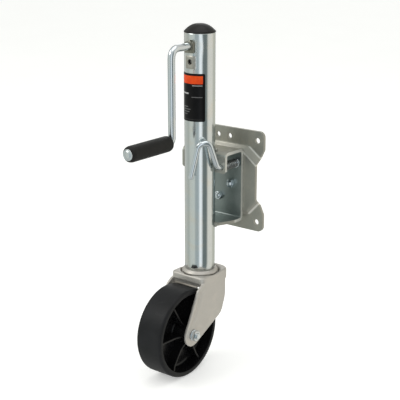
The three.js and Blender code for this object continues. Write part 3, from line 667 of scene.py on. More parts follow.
def label_film():
    """Dark printed film with a plain orange block and thin grey bars."""
    s = Shader("label_film", shine=0.15)
    position = s.split(s.where)

    def between(axis, low, high):
        value = position[axis]
        return s.maths("MULTIPLY", s.maths("GREATER_THAN", value, low), s.maths("LESS_THAN", value, high))

    def block(x0, x1, z0, z1):
        low, high = at(x0, 0, z0), at(x1, 0, z1)
        return s.maths("MULTIPLY", between("X", low.x, high.x), between("Z", low.z, high.z))

    grain = s.noise(1500, 2.0)
    cloud = s.noise(60, 3.0)
    color = s.ramp(cloud, [(0.3, (0.0035, 0.0035, 0.004)), (0.7, (0.006, 0.006, 0.0065))])
    orange = s.ramp(cloud, [(0.3, (0.66, 0.05, 0.006)), (0.7, (0.80, 0.085, 0.01))])
    color = s.mix(block(-20, 19.5, 489.5, 502.5), color, orange)
    for x0, x1, z0, height, grey in [
        (4, 19, 486.2, 1.2, 0.35), (-18, -3, 472.5, 2.5, 0.4), (3, 19, 467.6, 1.2, 0.14),
        (-17, -4, 451.5, 1.2, 0.16), (-17, 1, 447.5, 1.2, 0.13), (-17, -1, 443.5, 1.2, 0.13),
        (-17, -6, 439.5, 1.2, 0.13), (-19, 19, 431.5, 0.6, 0.05),
    ]:
        color = s.mix(block(x0, x1, z0, z0 + height), color, (grey, grey, grey))
    s.relief((grain, 0.05, 0.03))
    return s.done(color, s.spread(cloud, 0.28, 0.38))


LABEL = label_film()
MATERIAL = {"bright_zinc": BRIGHT, "satin_zinc": SATIN, "steel": STEEL, "bronze": BRONZE, "label": LABEL,
            "black_plastic": HUB_BLACK, "black_poly": INNER}

# ---- tube and its fittings

(_, TUBE_R), _, (TUBE_BOTTOM, TUBE_TOP) = span("outer_tube")
RAM_R = span("inner_tube")[0][1]
TUBE_WALL = 2.7
CRANK_Z = joint_at("crank_turn")[2]
LOCK_Z = CRANK_Z - 25
SEAM = math.radians(-135)


def tube_skin(u, v, depth):
    """The tube's wall unrolled: u runs round from the front, v up. A pad stands out round the lock hole,
    and the wall is drawn in round the crank's window and dented beside it."""
    pad = ease((10.4 - abs(u)) / 1.4) * ease((11.5 - abs(v - LOCK_Z + 1)) / 3.4)
    dent = math.exp(-((u - 15) / 6) ** 2 - ((v - CRANK_Z + 1) / 12) ** 2)
    lip = ease((12 - abs(u)) / 2.5) * ease((12.5 - abs(v - CRANK_Z + 2)) / 2.5)
    end = min(v - TUBE_BOTTOM, TUBE_TOP - v)
    chamfer = 0.5 * ease(1 - end / 0.9) if depth == 0 else 0
    radius = TUBE_R + 1.0 * pad - 0.45 * dent - 0.5 * lip * (1 - pad) - depth - chamfer
    angle = u / TUBE_R
    return radius * math.sin(angle), -radius * math.cos(angle), v


def build_tube():
    """The grid is twice as fine round the crank's window, and its rows stay sparse down the plain part."""
    u0, u1 = SEAM * TUBE_R, (SEAM + TAU) * TUBE_R
    columns = 96
    step = (u1 - u0) / columns
    plain_step = 14
    rows = [TUBE_BOTTOM + 0.4, TUBE_BOTTOM + 0.9]
    rows += [*np.arange(TUBE_BOTTOM + plain_step, LOCK_Z - 22, plain_step)]
    rows += [*np.arange(LOCK_Z - 20, TUBE_TOP - 1.2, step), TUBE_TOP - 0.9, TUBE_TOP - 0.4]
    rim = [(u0 + step * i, TUBE_BOTTOM) for i in range(columns + 1)] + [(u1, v) for v in rows]
    rim += [(u1 - step * i, TUBE_TOP) for i in range(columns + 1)] + [(u0, v) for v in reversed(rows)]
    window = box_outline(-8.8, 8.8, CRANK_Z - 11, CRANK_Z + 7, 2)
    holes = [window, circle(0, LOCK_Z, 4.2, 24), circle(TUBE_R * math.pi, CRANK_Z, 8.3, 32)]
    holes = [divided(hole, step) for hole in holes]
    grid = [(u0 + step * i, v) for i in range(1, columns) for v in rows]
    between = [(u0 + step * (i + 0.5), v) for i in range(columns) for v in rows]
    grid += [(u, v + step / 2) for u, v in between if LOCK_Z - 16 < v < TUBE_TOP - 3 and abs(u) < 24]
    grid = np.array(grid)
    keep = within(grid, rim, holes) & clear(grid, holes, 0.4 * step)

    def seam(a, b):
        return abs(a.y - b.y) > 1e-3 and all(min(abs(p.x - u0), abs(p.x - u1)) < 1e-3 for p in (a, b))

    return cut_metal(rim, holes, grid[keep], tube_skin, TUBE_WALL, seam)


def on_pad(middle):
    """The raised pad round the lock hole is duller than the rest of the tube."""
    across = TUBE_R * math.atan2(middle.x, -middle.y)
    return int(abs(across) < 9.8 and abs(middle.z - LOCK_Z + 1) < 10.4 and middle.y < 0)


detail("outer_tube", build_tube(), BRIGHT, DULL, weld=True, smooth=40, pick=on_pad)


def build_cap():
    rim = span("top_cap")[0][1]
    top = span("top_cap")[2][1]
    seat = TUBE_TOP + 0.3
    plug = TUBE_R - TUBE_WALL - 0.35
    plug_end = TUBE_TOP - 4.5
    profile = [(0, seat + 6), (plug - 3, seat + 5), (plug - 2, seat), (plug - 2, plug_end)]
    profile += [(plug - 0.6, plug_end), (plug, plug_end + 1), (plug, seat), (rim - 0.5, seat)]
    profile += [(rim, seat + 0.6), (rim, seat + 1.4), (rim - 0.3, seat + 2.0)]
    base = seat + 2.3
    steps = 16
    for k in range(steps - 1, -1, -1):
        share = k / steps
        profile.append(((rim - 0.8) * share, base + (top - base) * (1 - share ** 2.4)))
    return lathe(profile)


detail("top_cap", build_cap(), CAP_BLACK)


def build_label():
    _, (front, _), (bottom, top) = span("label")
    radius = -front
    reach = math.radians(57) * radius

    def place(u, v, depth):
        r = radius - depth
        return r * math.sin(u / radius), -r * math.cos(u / radius), v

    return sheet(box_outline(-reach, reach, bottom, top, 2.5), [], 2.0, place, 0.3)


detail("label", build_label(), LABEL)


def build_front_bushing():
    """Square block in the tube's window, 3.4 mm proud of the tube, with a collar round the shaft."""
    (x0, x1), _, (z0, z1) = span("crank_bushing_front")
    front = -TUBE_R - 3.4
    back = -19.2
    bore = 6.3
    plate = box_outline(x0, x1, z0, z1, 1.7)
    block = sheet(plate, [circle(0, CRANK_Z, bore, 28)], 2.0, lambda u, v, w: (u, front + w, v), back - front)
    collar = onto_minus_y(ring(bore, 7.9, -front - 0.5, -front + 1.2, 0.5, 48))
    return joined(block, shifted(collar, dz=CRANK_Z))


detail("crank_bushing_front", build_front_bushing(), OLIVE, bevel=0.3)


def build_rear_bushing():
    flange = ring(5.0, 11, TUBE_R + 0.3, TUBE_R + 2.2, 0.5, 64)
    sleeve = ring(5.0, 8, 18.6, TUBE_R + 1.5, 0.4, 64)
    return shifted(onto_y(joined(flange, sleeve)), dz=CRANK_Z)


detail("crank_bushing_rear", build_rear_bushing(), STEEL)
detail("inner_tube", ring(RAM_R - 2.6, RAM_R, *span("inner_tube")[2], 0.7), BRIGHT)


def build_race():
    low, high = span("upper_race")[2]
    outer, inner, spigot = 30.4, 7.4, RAM_R + 0.4
    spigot_top = 169.4
    profile = [(inner, low, 0.3), (outer, low, 0.7), (outer, low + 2.2, 0.9), (26.6, high - 0.2, 1.4)]
    profile += [(spigot, high, 0.3), (spigot, spigot_top, 0), (inner, spigot_top, 0.3)]
    return lathe(rounded(profile, 4))


detail("upper_race", build_race(), FORK_ZINC)


def build_weld(node, face, direction, start_y):
    """Rippled bead round the back of the tube, where it meets a leg of the channel."""
    radius = TUBE_R + 1.6
    half = math.pi / 2 - math.asin(start_y / radius)
    count = 90
    angles = [math.pi / 2 - half + 2 * half * i / count for i in range(count + 1)]
    points = [(radius * math.cos(a), radius * math.sin(a), face + direction * 1.5) for a in angles]
    radii = [2.5 + 0.22 * math.sin(TAU * i / 5) + 0.12 * math.sin(i * 1.7) for i in range(count + 1)]
    detail(node, sweep(points, radii, 16, 0.7), SATIN)


build_weld("weld_upper", 374.5, 1, 17)
build_weld("weld_lower", 249, -1, 10)

# ---- crank

GRIP_Y = span("crank_grip")[1]
GRIP_R = span("crank_grip")[0][1]
GRIP_Z = joint_at("grip_spin")[2]
ARM_Y = -72
ROD_R = 6


def build_crank():
    """Bent bar, and the thinner shaft that carries the pinion."""
    tip, shaft_end = span("crank_rod")[1]
    shaft_start = -21
    corners = [(0, -19.1, CRANK_Z), (0, ARM_Y, CRANK_Z), (0, ARM_Y, GRIP_Z), (0, tip + 0.9, GRIP_Z)]
    shaft = onto_y(ring(0.01, 4.75, 0, shaft_end - shaft_start, 0.004, 32))
    bar = sweep(bent_line(corners, [17, 9], 1.2), ROD_R, 32, 0.15)
    return joined(bar, shifted(shaft, dy=shaft_start, dz=CRANK_Z))


detail("crank_rod", build_crank(), BLUE)


def build_grip():
    """Sleeve with a slight barrel shape and a recess for the push nut."""
    near, far = -GRIP_Y[1], -GRIP_Y[0]
    bore = ROD_R + 0.4
    recess = far - 1
    shoulder = GRIP_R - 0.1
    profile = [(bore, near, 0.4), (GRIP_R - 1.2, near, 2.6), (shoulder, near + 5, 6)]
    profile += [(GRIP_R, (near + far) / 2, 0), (shoulder, far - 6, 6), (GRIP_R - 1.6, far, 3.4)]
    profile += [(9.6, far, 0.3), (9.2, recess, 0), (bore, recess, 0)]
    return shifted(onto_minus_y(lathe(rounded(profile, 6))), dz=GRIP_Z)


detail("crank_grip", build_grip(), GRIP_BLACK)


def build_push_nut():
    """Domed retaining cap on the end of the grip."""
    near, far = sorted(-y for y in span("grip_washer")[1])
    tip = -span("crank_rod")[1][0]
    profile = [(0, near + 0.2), (9.0, near), (9.2, near + 0.3), (9.1, near + 0.8), (7.6, far)]
    profile += [(6.4, far + 0.4), (5.2, tip - 0.3), (3.2, tip - 0.06), (0, tip)]
    return shifted(onto_minus_y(lathe(profile, 64)), dz=GRIP_Z)


detail("grip_washer", build_push_nut(), BLUE)

# ---- swivel bracket

PLATE_FRONT = 66
BOLT_HOLE_R = 4.3
PIN_HOLE_R = 4.95
PIN_X = 36
PIN_Z = 350
PAN_RAISE = 6
SWIVEL_Z = joint_at("swing")[2]
SHEET = 5
# Slopes of the pan: direction across and up, distance of the foot from the plate's middle, and width.
PAN_SLOPES = [(0, 1, 59.5, 7), (0.604, 0.797, 79, 13.5), (0.729, -0.685, 81.5, 7), (0, -1, 59.5, 7)]


def pan_height(x, z):
    """Height of the pan pressed into the plate. It runs out to the plate's narrow sides."""
    rise = z - PLATE_Z
    share = min((foot - across * abs(x) - up * rise) / width for across, up, foot, width in PAN_SLOPES)
    return PAN_RAISE * ramp(share, 0.16)


def build_plate():
    quarter = [(70, 30, 8), (82, 56, 8), (82, 86.5, 10)]
    right = [(x, -z, r) for x, z, r in reversed(quarter)] + quarter
    left = [(-x, z, r) for x, z, r in reversed(right)]
    outline = rounded([(x, z + PLATE_Z, r) for x, z, r in right + left], 8)
    signs = [(sx, sz) for sx in (-1, 1) for sz in (-1, 1)]
    holes = [circle(sx * 69, PLATE_Z + sz * 70.5, 5, 28) for sx, sz in signs]
    holes += [circle(sx * 12, PLATE_Z + sz * 71.5, 4.5, 28) for sx, sz in signs]
    holes += [circle(x, SWIVEL_Z + z, 5.1, 24) for x, z in ((PIN_X, 38), (38, -36), (-38, 36))]
    holes.append(circle(0, SWIVEL_Z, 32, 72))

    def fine(u, v):
        return 0.02 < pan_height(u, v) < PAN_RAISE - 0.02

    return sheet(outline, holes, 2.6, lambda u, v, w: (u, PLATE_FRONT - pan_height(u, v) + w, v), SHEET, fine)


# The plate's pan folds carry painted highlight lines.
detail("mounting_plate", build_plate(), FOLD_HIGHLIGHT_ZINC, bevel=0.7, smooth=40)

(_, CHANNEL_X), (_, WEB_Y), (LEG_Z, TOP_Z) = span("swivel_channel")
LIP_FRONT = 9.5
LIP_BOTTOM = 340
LEG_TIP_Y = 6
BEND = 8.0
BOLTS = circle(0, SWIVEL_Z, 25, 4)


class Strip:
    """The channel's bent strip, from the lip over the top leg, down the web and along the bottom leg.

    Its runs are (start, end, spot), straight ones and bends by turns. spot(t, outward) is a point (y, z)."""

    def __init__(self):
        mid = SHEET / 2
        lip, web, top, low = LIP_FRONT + mid, WEB_Y - mid, TOP_Z - mid, LEG_Z + mid
        self.radius = BEND - mid
        self.runs = []
        self.straight((lip, LIP_BOTTOM), (lip, TOP_Z - BEND))
        self.bend((LIP_FRONT + BEND, TOP_Z - BEND), math.pi)
        self.straight((LIP_FRONT + BEND, top), (WEB_Y - BEND, top))
        self.bend((WEB_Y - BEND, TOP_Z - BEND), math.pi / 2)
        self.straight((web, TOP_Z - BEND), (web, LEG_Z + BEND))
        self.bend((WEB_Y - BEND, LEG_Z + BEND), 0)
        self.straight((WEB_Y - BEND, low), (LEG_TIP_Y, low))

    def append(self, length, spot):
        start = self.runs[-1][1] if self.runs else 0.0
        self.runs.append((start, start + length, spot))

    def straight(self, start, end):
        start, end = Vector(start), Vector(end)
        along = (end - start).normalized()
        normal = Vector((-along.y, along.x))
        self.append((end - start).length, lambda t, outward: start + along * t + normal * outward)

    def bend(self, centre, angle):
        centre = Vector(centre)

        def spot(t, outward):
            turned = angle - t / self.radius
            return centre + Vector((math.cos(turned), math.sin(turned))) * (self.radius + outward)

        self.append(self.radius * math.pi / 2, spot)

    def spot(self, s, outward):
        """(y, z) at length s, moved outward from the middle of the sheet."""
        start, _, spot = next((run for run in self.runs if s <= run[1] + 1e-9), self.runs[-1])
        return spot(s - start, outward)

    def bent(self, s):
        return any(start - 1 <= s <= end + 1 for start, end, _ in self.runs[1::2])


strip = Strip()
BEND_S, TOP_S, WEB_S, LOW_S = (strip.runs[i][0] for i in (1, 2, 4, 6))


def web_s(z):
    return WEB_S + (TOP_Z - BEND - z)


def build_channel():
    """Each leg has a round notch for the tube, and the top one turns down in a narrower lip."""
    notch = TUBE_R + 0.3
    mouth = 24.2

    def top_at(y):
        return TOP_S + y - (LIP_FRONT + BEND)

    def bottom_at(y):
        return LOW_S + (WEB_Y - BEND) - y

    def arc(first, place):
        ys = [first + (notch - first) * math.sin(math.pi / 2 * k / 12) for k in range(13)]
        return [(math.sqrt(max(0.0, notch ** 2 - y ** 2)), place(y)) for y in ys]

    side = CHANNEL_X
    end = bottom_at(LEG_TIP_Y)
    right = [(mouth, 0), (side - 3, 0), (side - 1, 0.9), (side, 3), (side, bottom_at(40))]
    right += [(44, bottom_at(36)), (31.5, end - 1), (30.5, end), (25.2, end)]
    right += arc(LEG_TIP_Y, bottom_at)[1:]
    upper = [(mouth, BEND_S), (22.6, BEND_S + 5), *arc(LIP_FRONT + BEND, top_at)]
    outline = right + [(-x, s) for x, s in reversed(right[:-1])]
    outline += [(-x, s) for x, s in upper] + [(x, s) for x, s in reversed(upper[:-1])]
    holes = [circle(PIN_X, s, PIN_HOLE_R, 28) for s in (PIN_Z - LIP_BOTTOM, web_s(PIN_Z))]
    holes += [circle(x, web_s(z), BOLT_HOLE_R, 24) for x, z in BOLTS]

    def place(u, v, depth):
        y, z = strip.spot(v, SHEET / 2 - depth)
        return u, y, z

    return sheet(outline, holes, 3.0, place, SHEET, lambda _, v: strip.bent(v))


def channel_finish(middle):
    """Material of a face of the channel: 1 inside the channel, where a darker zinc paints the shade, 2 on its cut
    edges, where a lighter zinc paints a highlight, 0 elsewhere.
    """
    if abs(middle.x) > CHANNEL_X - 0.4:
        return 2
    if middle.y < LIP_FRONT + 0.6:
        return 0
    return int(middle.y < WEB_Y - SHEET + 1 and LEG_Z + SHEET - 1 < middle.z < TOP_Z - SHEET + 1)


# The channel's inside is darkened by painted shade and its cut edges are lightened by a painted highlight.
detail("swivel_channel", build_channel(), SATIN, PAINTED_SHADE_ZINC, EDGE_HIGHLIGHT_ZINC, bevel=0.9, smooth=40, pick=channel_finish)

DISC_BACK = span("swivel_disc")[1][1]


def turned_disc(node):
    (_, radius), (y0, y1), _ = span(node)
    holes = [circle(x, z, BOLT_HOLE_R, 24) for x, z in BOLTS]
    disc = sheet(circle(0, SWIVEL_Z, radius, 96), holes, 4.0, lambda u, v, w: (u, y0 + w, v), y1 - y0)
    detail(node, disc, SATIN, bevel=0.5)


turned_disc("swivel_disc")
turned_disc("swivel_spacer")

# M8 bolts with flat round heads behind the disc, and their nuts inside the channel.
BOLT_R = 4
for i, (x, z) in enumerate(BOLTS, 1):
    tip = span(f"swivel_bolt_{i}")[1][0]
    head = lathe([(0, 2.0), (4.5, 2.0), (7.0, 1.5), (8.0, 0.5), (7.9, 0), (0, 0)], 48)
    shank = threaded(BOLT_R, 1.25, 0, DISC_BACK - tip + 1.0, 0.6, 20)
    bolt = joined(shifted(onto_y(head), x, DISC_BACK + 0.3, z), shifted(onto_y(shank), x, tip, z))
    detail(f"swivel_bolt_{i}", bolt, BLUE, smooth=50)
    nut = onto_minus_y(hexagon(13, 6.2, BOLT_R + 0.1))
    detail(f"swivel_nut_{i}", shifted(nut, x, span(f"swivel_nut_{i}")[1][1], z), BLUE, smooth=25)

# ---- pull pin

PIN_R = 4.5
pin_tip = (PIN_X, span("pull_pin")[1][1] - 2, PIN_Z)
pin_bends = [pin_tip, (PIN_X, 1, PIN_Z), (34.5, -20, 397), (23, -33, 395), (9, -36, 337)]
detail("pull_pin", sweep(bent_line(pin_bends, [10, 8.6, 8.6], 1.2), PIN_R, 28, 0.4), BLUE)

collar_bore = PIN_R + 0.15
collar = rounded([(collar_bore, 0, 0.2), (8.5, 0, 0.5), (8.5, 2.4, 0.5), (collar_bore, 2.4, 0.2)], 3)
detail("pin_collar", shifted(onto_y(lathe(collar, 48)), PIN_X, span("pin_collar")[1][0], PIN_Z), BLUE)


def build_spring():
    """Coil whose first and last turns lie flat."""
    y0, y1 = span("pin_spring")[1]
    wire, radius, turns = 0.9, 6.6, 8
    points = []
    count = turns * 28
    for i in range(count + 1):
        t = i / count
        rise = (t * turns - 0.75 * ease(t * turns) - 0.75 * ease((t - 1) * turns + 1)) / (turns - 1.5)
        angle = TAU * turns * t
        y = y0 + wire + (y1 - y0 - 2 * wire) * min(1.0, max(0.0, rise))
        points.append((PIN_X + radius * math.cos(angle), y, PIN_Z + radius * math.sin(angle)))
    return sweep(points, wire, 10, 0.3, 2)


spring = detail("pin_spring", build_spring(), STEEL)
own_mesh(spring)

# ---- caster fork

_, AXLE_Y, AXLE_Z = joint_at("wheel_spin")
FORK_X = span("fork")[0][1]
FORK_TOP = 162
FORK_SHEET = 4
SKIRT_BOTTOM = 150
RIM_RAISE = 5.6
EDGE_ROLL = 3.6
AXLE_END_R = 20
PLAN_X = FORK_X - 0.6
PLAN = rounded([(PLAN_X, -36, 8), (PLAN_X, 42, 19), (-PLAN_X, 42, 19), (-PLAN_X, -36, 8)], 8)


def leg_outline():
    """Side view of a leg: straight edges run down to its round end, and the rear one starts in a curve."""
    front, shoulder = Vector((-48, 149)), Vector((4, 86))
    axle = Vector((AXLE_Y, AXLE_Z))
    to_front, to_back = front - axle, shoulder - axle
    start = math.atan2(to_front.y, to_front.x) + math.acos(AXLE_END_R / to_front.length)
    stop = math.atan2(to_back.y, to_back.x) - math.acos(AXLE_END_R / to_back.length) + TAU
    angles = [start + (stop - start) * k / 24 for k in range(25)]
    points = [(-33, FORK_TOP - 5), (-39, 155), tuple(front)]
    points += [(axle.x + AXLE_END_R * math.cos(a), axle.y + AXLE_END_R * math.sin(a)) for a in angles]
    points.append(tuple(shoulder))
    back = 31
    knee, top = Vector((back, 98)), Vector((back, 128))
    for k in range(1, 9):
        t = k / 8
        points.append(tuple(shoulder * (1 - t) ** 2 + knee * (2 * t * (1 - t)) + top * (t * t)))
    points.append((back, FORK_TOP - 5))
    return points


LEG = leg_outline()
LEG_FRONT = LEG[1:4]
LEG_BACK = LEG[27:]


def leg(side):
    """A leg of the fork: bead and groove run down behind the front edge, and the rear edge curls inwards."""
    def place(u, v, depth):
        near_front = distance([(u, v)], LEG_FRONT, False)[0]
        near_back = distance([(u, v)], LEG_BACK, False)[0]
        ends = ease((v - AXLE_Z - 12) / 16) * ease((152 - v) / 10)
        bead = 1.1 * math.exp(-((near_front - 4.0) / 3.4) ** 2)
        groove = 2.0 * math.exp(-((near_front - 11.5) / 3.2) ** 2)
        curl = 3.0 * max(0.0, 1 - near_back / 9) ** 2 * ease((v - 92) / 14)
        boss = 0.5 * ease((12.5 - math.hypot(u - AXLE_Y, v - AXLE_Z)) / 1.5)
        return side * (FORK_X - 0.9 - depth + (bead - groove) * ends - curl + boss), u, v

    axle_hole = circle(AXLE_Y, AXLE_Z, 5.3, 24)
    return sheet(LEG, [axle_hole], 2.5, place, FORK_SHEET)


def rim_height(x, y):
    """Top of the fork: level under the race, and raised in a rim beyond it."""
    return FORK_TOP + RIM_RAISE * ease((math.hypot(x, y) - 31.2) / 3.0)


def top_plate():
    def place(u, v, depth):
        edge = distance([(u, v)], PLAN)[0]
        drop = max(0.0, EDGE_ROLL - edge) ** 2 / (1.6 * EDGE_ROLL)
        return u, v, rim_height(u, v) - drop - depth

    return sheet(PLAN, [circle(0, 0, 7.4, 32)], 1.8, place, FORK_SHEET)


def skirt():
    """Wall round the top plate, with a joggled apron in front."""
    line = [Vector(p) for p in divided(PLAN, 2.0)]

    def row(reach, k):
        points = []
        for i, point in enumerate(line):
            along = line[(i + 1) % len(line)] - line[i - 1]
            out = Vector((along.y, -along.x)).normalized()
            out = out if out.dot(point) > 0 else -out
            top = rim_height(*point) - 2.2
            z = top + (SKIRT_BOTTOM - top) * k / 10
            step_in = 1.8 * ease((155.6 - z) / 1.6) * ease((-out.y - 0.55) / 0.3) if reach == 0 else 0
            points.append((*(point + out * (reach - step_in)), z))
        return points

    return loft([row(0.0, k) for k in range(11)] + [row(-FORK_SHEET, k) for k in range(10, -1, -1)])


def build_fork():
    """The four parts are melted into one pressing by a fine voxel remesh."""
    obj = add("fork_detail", joined(top_plate(), skirt(), leg(1), leg(-1)), [FORK_ZINC])
    mesh_again = obj.modifiers.new("union", "REMESH")
    mesh_again.mode = "VOXEL"
    mesh_again.voxel_size = 0.85 * MM
    soft = obj.modifiers.new("soft", "SMOOTH")
    soft.factor = 0.5
    soft.iterations = 4
    bake(obj)
    shade(obj, 180)
    return stands_for(obj, "fork")


build_fork()

# ---- axle and wheel

def axle_part(part, x=0.0):
    return shifted(onto_x(part), x, AXLE_Y, AXLE_Z)


AXLE_R = 5
(bolt_x0, bolt_x1), (nut_x0, nut_x1) = span("axle_bolt")[0], span("axle_nut")[0]
head_x = FORK_X + 0.3
bolt_head = moved(hexagon(16, -bolt_x0 - head_x), lambda x, y, z: (x, y, -z - head_x))
plain = ring(0.01, AXLE_R, -FORK_X - 2, FORK_X + 2, 0.004, 32)
stud = threaded(AXLE_R, 1.5, FORK_X + 1, bolt_x1, 0.8, 28)
detail("axle_bolt", axle_part(joined(plain, stud, bolt_head)), BLUE, smooth=30)
flange = lathe(rounded([(5.2, 0, 0.2), (9.6, 0, 0.4), (9.4, 1.3, 0.6), (5.2, 1.6, 0.2)], 3), 64)
nut = shifted(hexagon(16, nut_x1 - nut_x0 - 1, AXLE_R + 0.1), dz=1)
detail("axle_nut", axle_part(joined(nut, flange), nut_x0), BLUE, smooth=25)

HUB_HALF = span("hub_bushing_right")[0][1]
WHEEL_R = (wheel_high.z - wheel_low.z) / 2 / MM
TREAD_HALF = 25.4
RIBS = 6


def rib(angle):
    """Spoke across both sides of the wheel's web, thicker in the middle and hollowed at the rims."""
    edge = [(14, -26, 0), (30, -20.5, 8), (58, -18.6, 8), (68, -20.5, 0)]
    outline = rounded([(r, x, s) for r, x, s in edge] + [(r, -x, s) for r, x, s in reversed(edge)], 4)
    c, s = math.cos(angle), math.sin(angle)

    def place(r, x, depth):
        thick = (1.3 + 0.9 * (1 - abs(x) / 26)) * (2 * depth - 1)
        return x, AXLE_Y + r * c - thick * s, AXLE_Z + r * s + thick * c

    return sheet(outline, [], 5.0, place, 1.0)


def build_wheel():
    bore = 11.7
    side = [(bore, HUB_HALF, 0.5), (17, HUB_HALF, 1.2), (18.6, 3, 4), (64, 3, 5)]
    side += [(67.3, TREAD_HALF - 0.6, 0.8), (68.6, TREAD_HALF, 0.5), (WHEEL_R, TREAD_HALF, 4.6)]
    profile = rounded(side + [(r, -x, s) for r, x, s in reversed(side)], 6)
    body = add("wheel_detail", axle_part(lathe(divided(profile, 9), 120)), [TREAD, INNER])
    ribs = [add(f"rib_{i}", rib(TAU * (i + 0.5) / RIBS + math.pi / 2), [], bevel=0.5) for i in range(RIBS)]
    for tool in ribs:
        union = body.modifiers.new(tool.name, "BOOLEAN")
        union.operation = "UNION"
        union.solver = "EXACT"
        union.object = tool
    bake(body)
    for tool in ribs:
        bpy.data.objects.remove(tool)
    shade(body, 35)
    # The sides take the darker, glossier material; its darker tone is partly painted shade.
    for face in body.data.polygons:
        _, y, z = (face.center - ORIGIN) / MM
        face.material_index = 0 if math.hypot(y - AXLE_Y, z - AXLE_Z) > 68 else 1
    return stands_for(body, "wheel")


build_wheel()
for node in ("axle_washer_left", "axle_washer_right"):
    x0, x1 = span(node)[0]
    detail(node, axle_part(ring(7.8, 13, x0, x1, 0.25, 64, 2)), BLUE)

# ---- lead screw

SCREW_R = 8
END_R = 5.85
screw_low, screw_high = span("lead_screw")[2]
stop_high = span("screw_stop")[2][1]
plate_top = span("bearing_plate")[2][1]
collar_z = span("thrust_bearing")[2][0] - 4.3
collar = [(0.01, collar_z, 0), (13, collar_z, 0.6), (13, collar_z + 4, 0.6), (0.01, collar_z + 4, 0)]
foot = [(0, screw_low), (4.4, screw_low), (5, screw_low + 0.8), (5, stop_high + 2), (0, stop_high + 2)]
neck = [(0, collar_z), (SCREW_R, collar_z), (SCREW_R, plate_top), (END_R, plate_top + 0.3)]
neck += [(END_R, screw_high - 0.5), (5.3, screw_high), (0, screw_high)]
thread = threaded(SCREW_R, 6, stop_high + 0.3, collar_z + 0.5, 1.7, 24, -1, 10)
screw_parts = [thread, lathe(foot, 32), lathe(rounded(collar, 3), 64), lathe(neck, 32)]
detail("lead_screw", joined(*screw_parts), STEEL, smooth=50)

# ---- CAD nodes that stay

for name, node in frame["nodes"].items():
    if node.hide_render:
        continue
    node.data.materials.clear()
    node.data.materials.append(MATERIAL[slot_of[name]])
    if not name.startswith("bevel_"):
        bevelled(node, 0.3, 40).harden_normals = True

# ---- floor, light and camera

FLOOR_HALF = 12
floor_mesh = bpy.data.meshes.new("floor")
floor_corners = [(x * FLOOR_HALF, y * FLOOR_HALF, 0) for x, y in ((-1, -1), (1, -1), (1, 1), (-1, 1))]
floor_mesh.from_pydata(floor_corners, [], [(0, 1, 2, 3)])
floor = placed("floor", floor_mesh)
floor.location = (0, 0, ORIGIN.z - 0.0002)
floor.visible_glossy = False
paper = Shader("floor_paper")
paper_tone = paper.ramp(paper.noise(3, 2.0), [(0.3, (0.86, 0.86, 0.855)), (0.7, (0.88, 0.88, 0.875))])
paper.principled.inputs["Emission Color"].default_value = (1, 1, 0.99, 1)
paper.principled.inputs["Emission Strength"].default_value = 0.42
floor_mesh.materials.append(paper.done(paper_tone, paper.spread(paper.noise(40), 0.8, 0.9)))

# What the bright tube mirrors, by azimuth in degrees: dark and bright bands all round.
SKY = [
    (-180, (0.55, 0.57, 0.54)), (-145, (0.46, 0.49, 0.46)), (-130, (0.60, 0.63, 0.59)),
    (-95, (0.62, 0.66, 0.63)), (-84, (0.40, 0.45, 0.46)), (-62, (0.42, 0.48, 0.50)), (-54, (1.0, 1.04, 1.07)),
    (-40, (1.0, 1.04, 1.07)), (-29, (0.17, 0.20, 0.20)), (-2, (0.17, 0.20, 0.20)), (12, (0.80, 0.78, 0.72)),
    (52, (0.80, 0.77, 0.70)), (62, (0.58, 0.57, 0.50)), (100, (0.55, 0.55, 0.49)), (108, (0.40, 0.43, 0.43)),
    (114, (1.4, 1.4, 1.4)), (130, (1.4, 1.4, 1.4)), (136, (0.12, 0.13, 0.13)), (148, (0.14, 0.15, 0.15)),
    (156, (0.66, 0.66, 0.62)), (180, (0.55, 0.57, 0.54)),
]


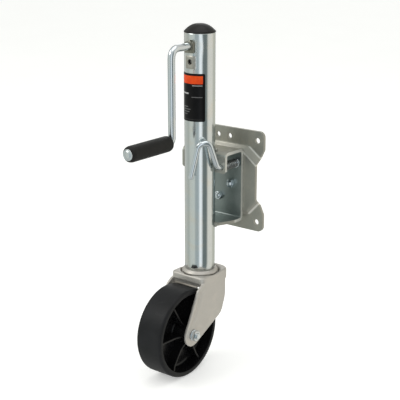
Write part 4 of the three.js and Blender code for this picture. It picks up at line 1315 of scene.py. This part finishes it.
def studio():
    """Banded surroundings under an even top, and a plain pale backdrop for the camera."""
    world = bpy.data.worlds.new("studio")
    bpy.context.scene.world = world
    world.use_nodes = True
    s = Nodes(world.node_tree)
    direction = s.split(s.node("ShaderNodeTexCoord").outputs["Generated"])
    azimuth = s.maths("ARCTAN2", direction["Y"], direction["X"])
    turn = s.maths("ADD", s.maths("DIVIDE", azimuth, TAU), 0.5)
    lit = s.ramp(turn, [((degrees + 180) / 360, color) for degrees, color in SKY])
    for start, end, color in ((0.25, 0.7, (0.62, 0.63, 0.61)), (-0.55, -0.85, (0.5, 0.5, 0.48))):
        rise = s.spread(direction["Z"], 0.0, 1.0, (start, end), interpolation_type="SMOOTHSTEP")
        lit = s.mix(rise, lit, color)
    background = s.tree.nodes["Background"]
    s.feed(background.inputs["Color"], lit)
    backdrop = s.node("ShaderNodeBackground")
    s.feed(backdrop.inputs["Color"], (0.99, 0.99, 0.988))
    either = s.node("ShaderNodeMixShader")
    seen = s.node("ShaderNodeLightPath").outputs["Is Camera Ray"]
    for socket, value in zip(either.inputs, (seen, background.outputs[0], backdrop.outputs[0])):
        s.feed(socket, value)
    s.feed(s.tree.nodes["World Output"].inputs["Surface"], either.outputs[0])


studio()


def aim(obj, position, direction):
    obj.location = position
    obj.rotation_mode = "QUATERNION"
    obj.rotation_quaternion = Vector(direction).to_track_quat("-Z", "Y")


def softbox(name, position, size, power, tone=(1, 1, 1)):
    """Square area light that looks at the middle of the jack."""
    data = bpy.data.lights.new(name, "AREA")
    data.shape = "RECTANGLE"
    data.size = data.size_y = size
    data.energy = power
    data.color = tone
    light = placed(name, data)
    light.visible_camera = False
    aim(light, position, (cad_low + cad_high) / 2 - Vector(position))


softbox("key", (-1.2, -1.6, 1.5), 1.2, 14, (1.0, 0.98, 0.95))
softbox("overhead", (0.3, -0.2, 2.2), 2.2, 14)

# The lens stands to the right of the crank, a little above the jack, 1.6 m from the tube.
camera_data = bpy.data.cameras.new("camera")
camera_data.sensor_width = 36
camera_data.lens = 89
camera_data.clip_start = 0.05
camera_data.clip_end = 60
camera = placed("camera", camera_data)
aim(camera, at(975.8, -1248.9, 763.0), (-0.5899, 0.7551, -0.2860))
bpy.context.scene.camera = camera
bpy.context.scene.view_settings.view_transform = "Standard"
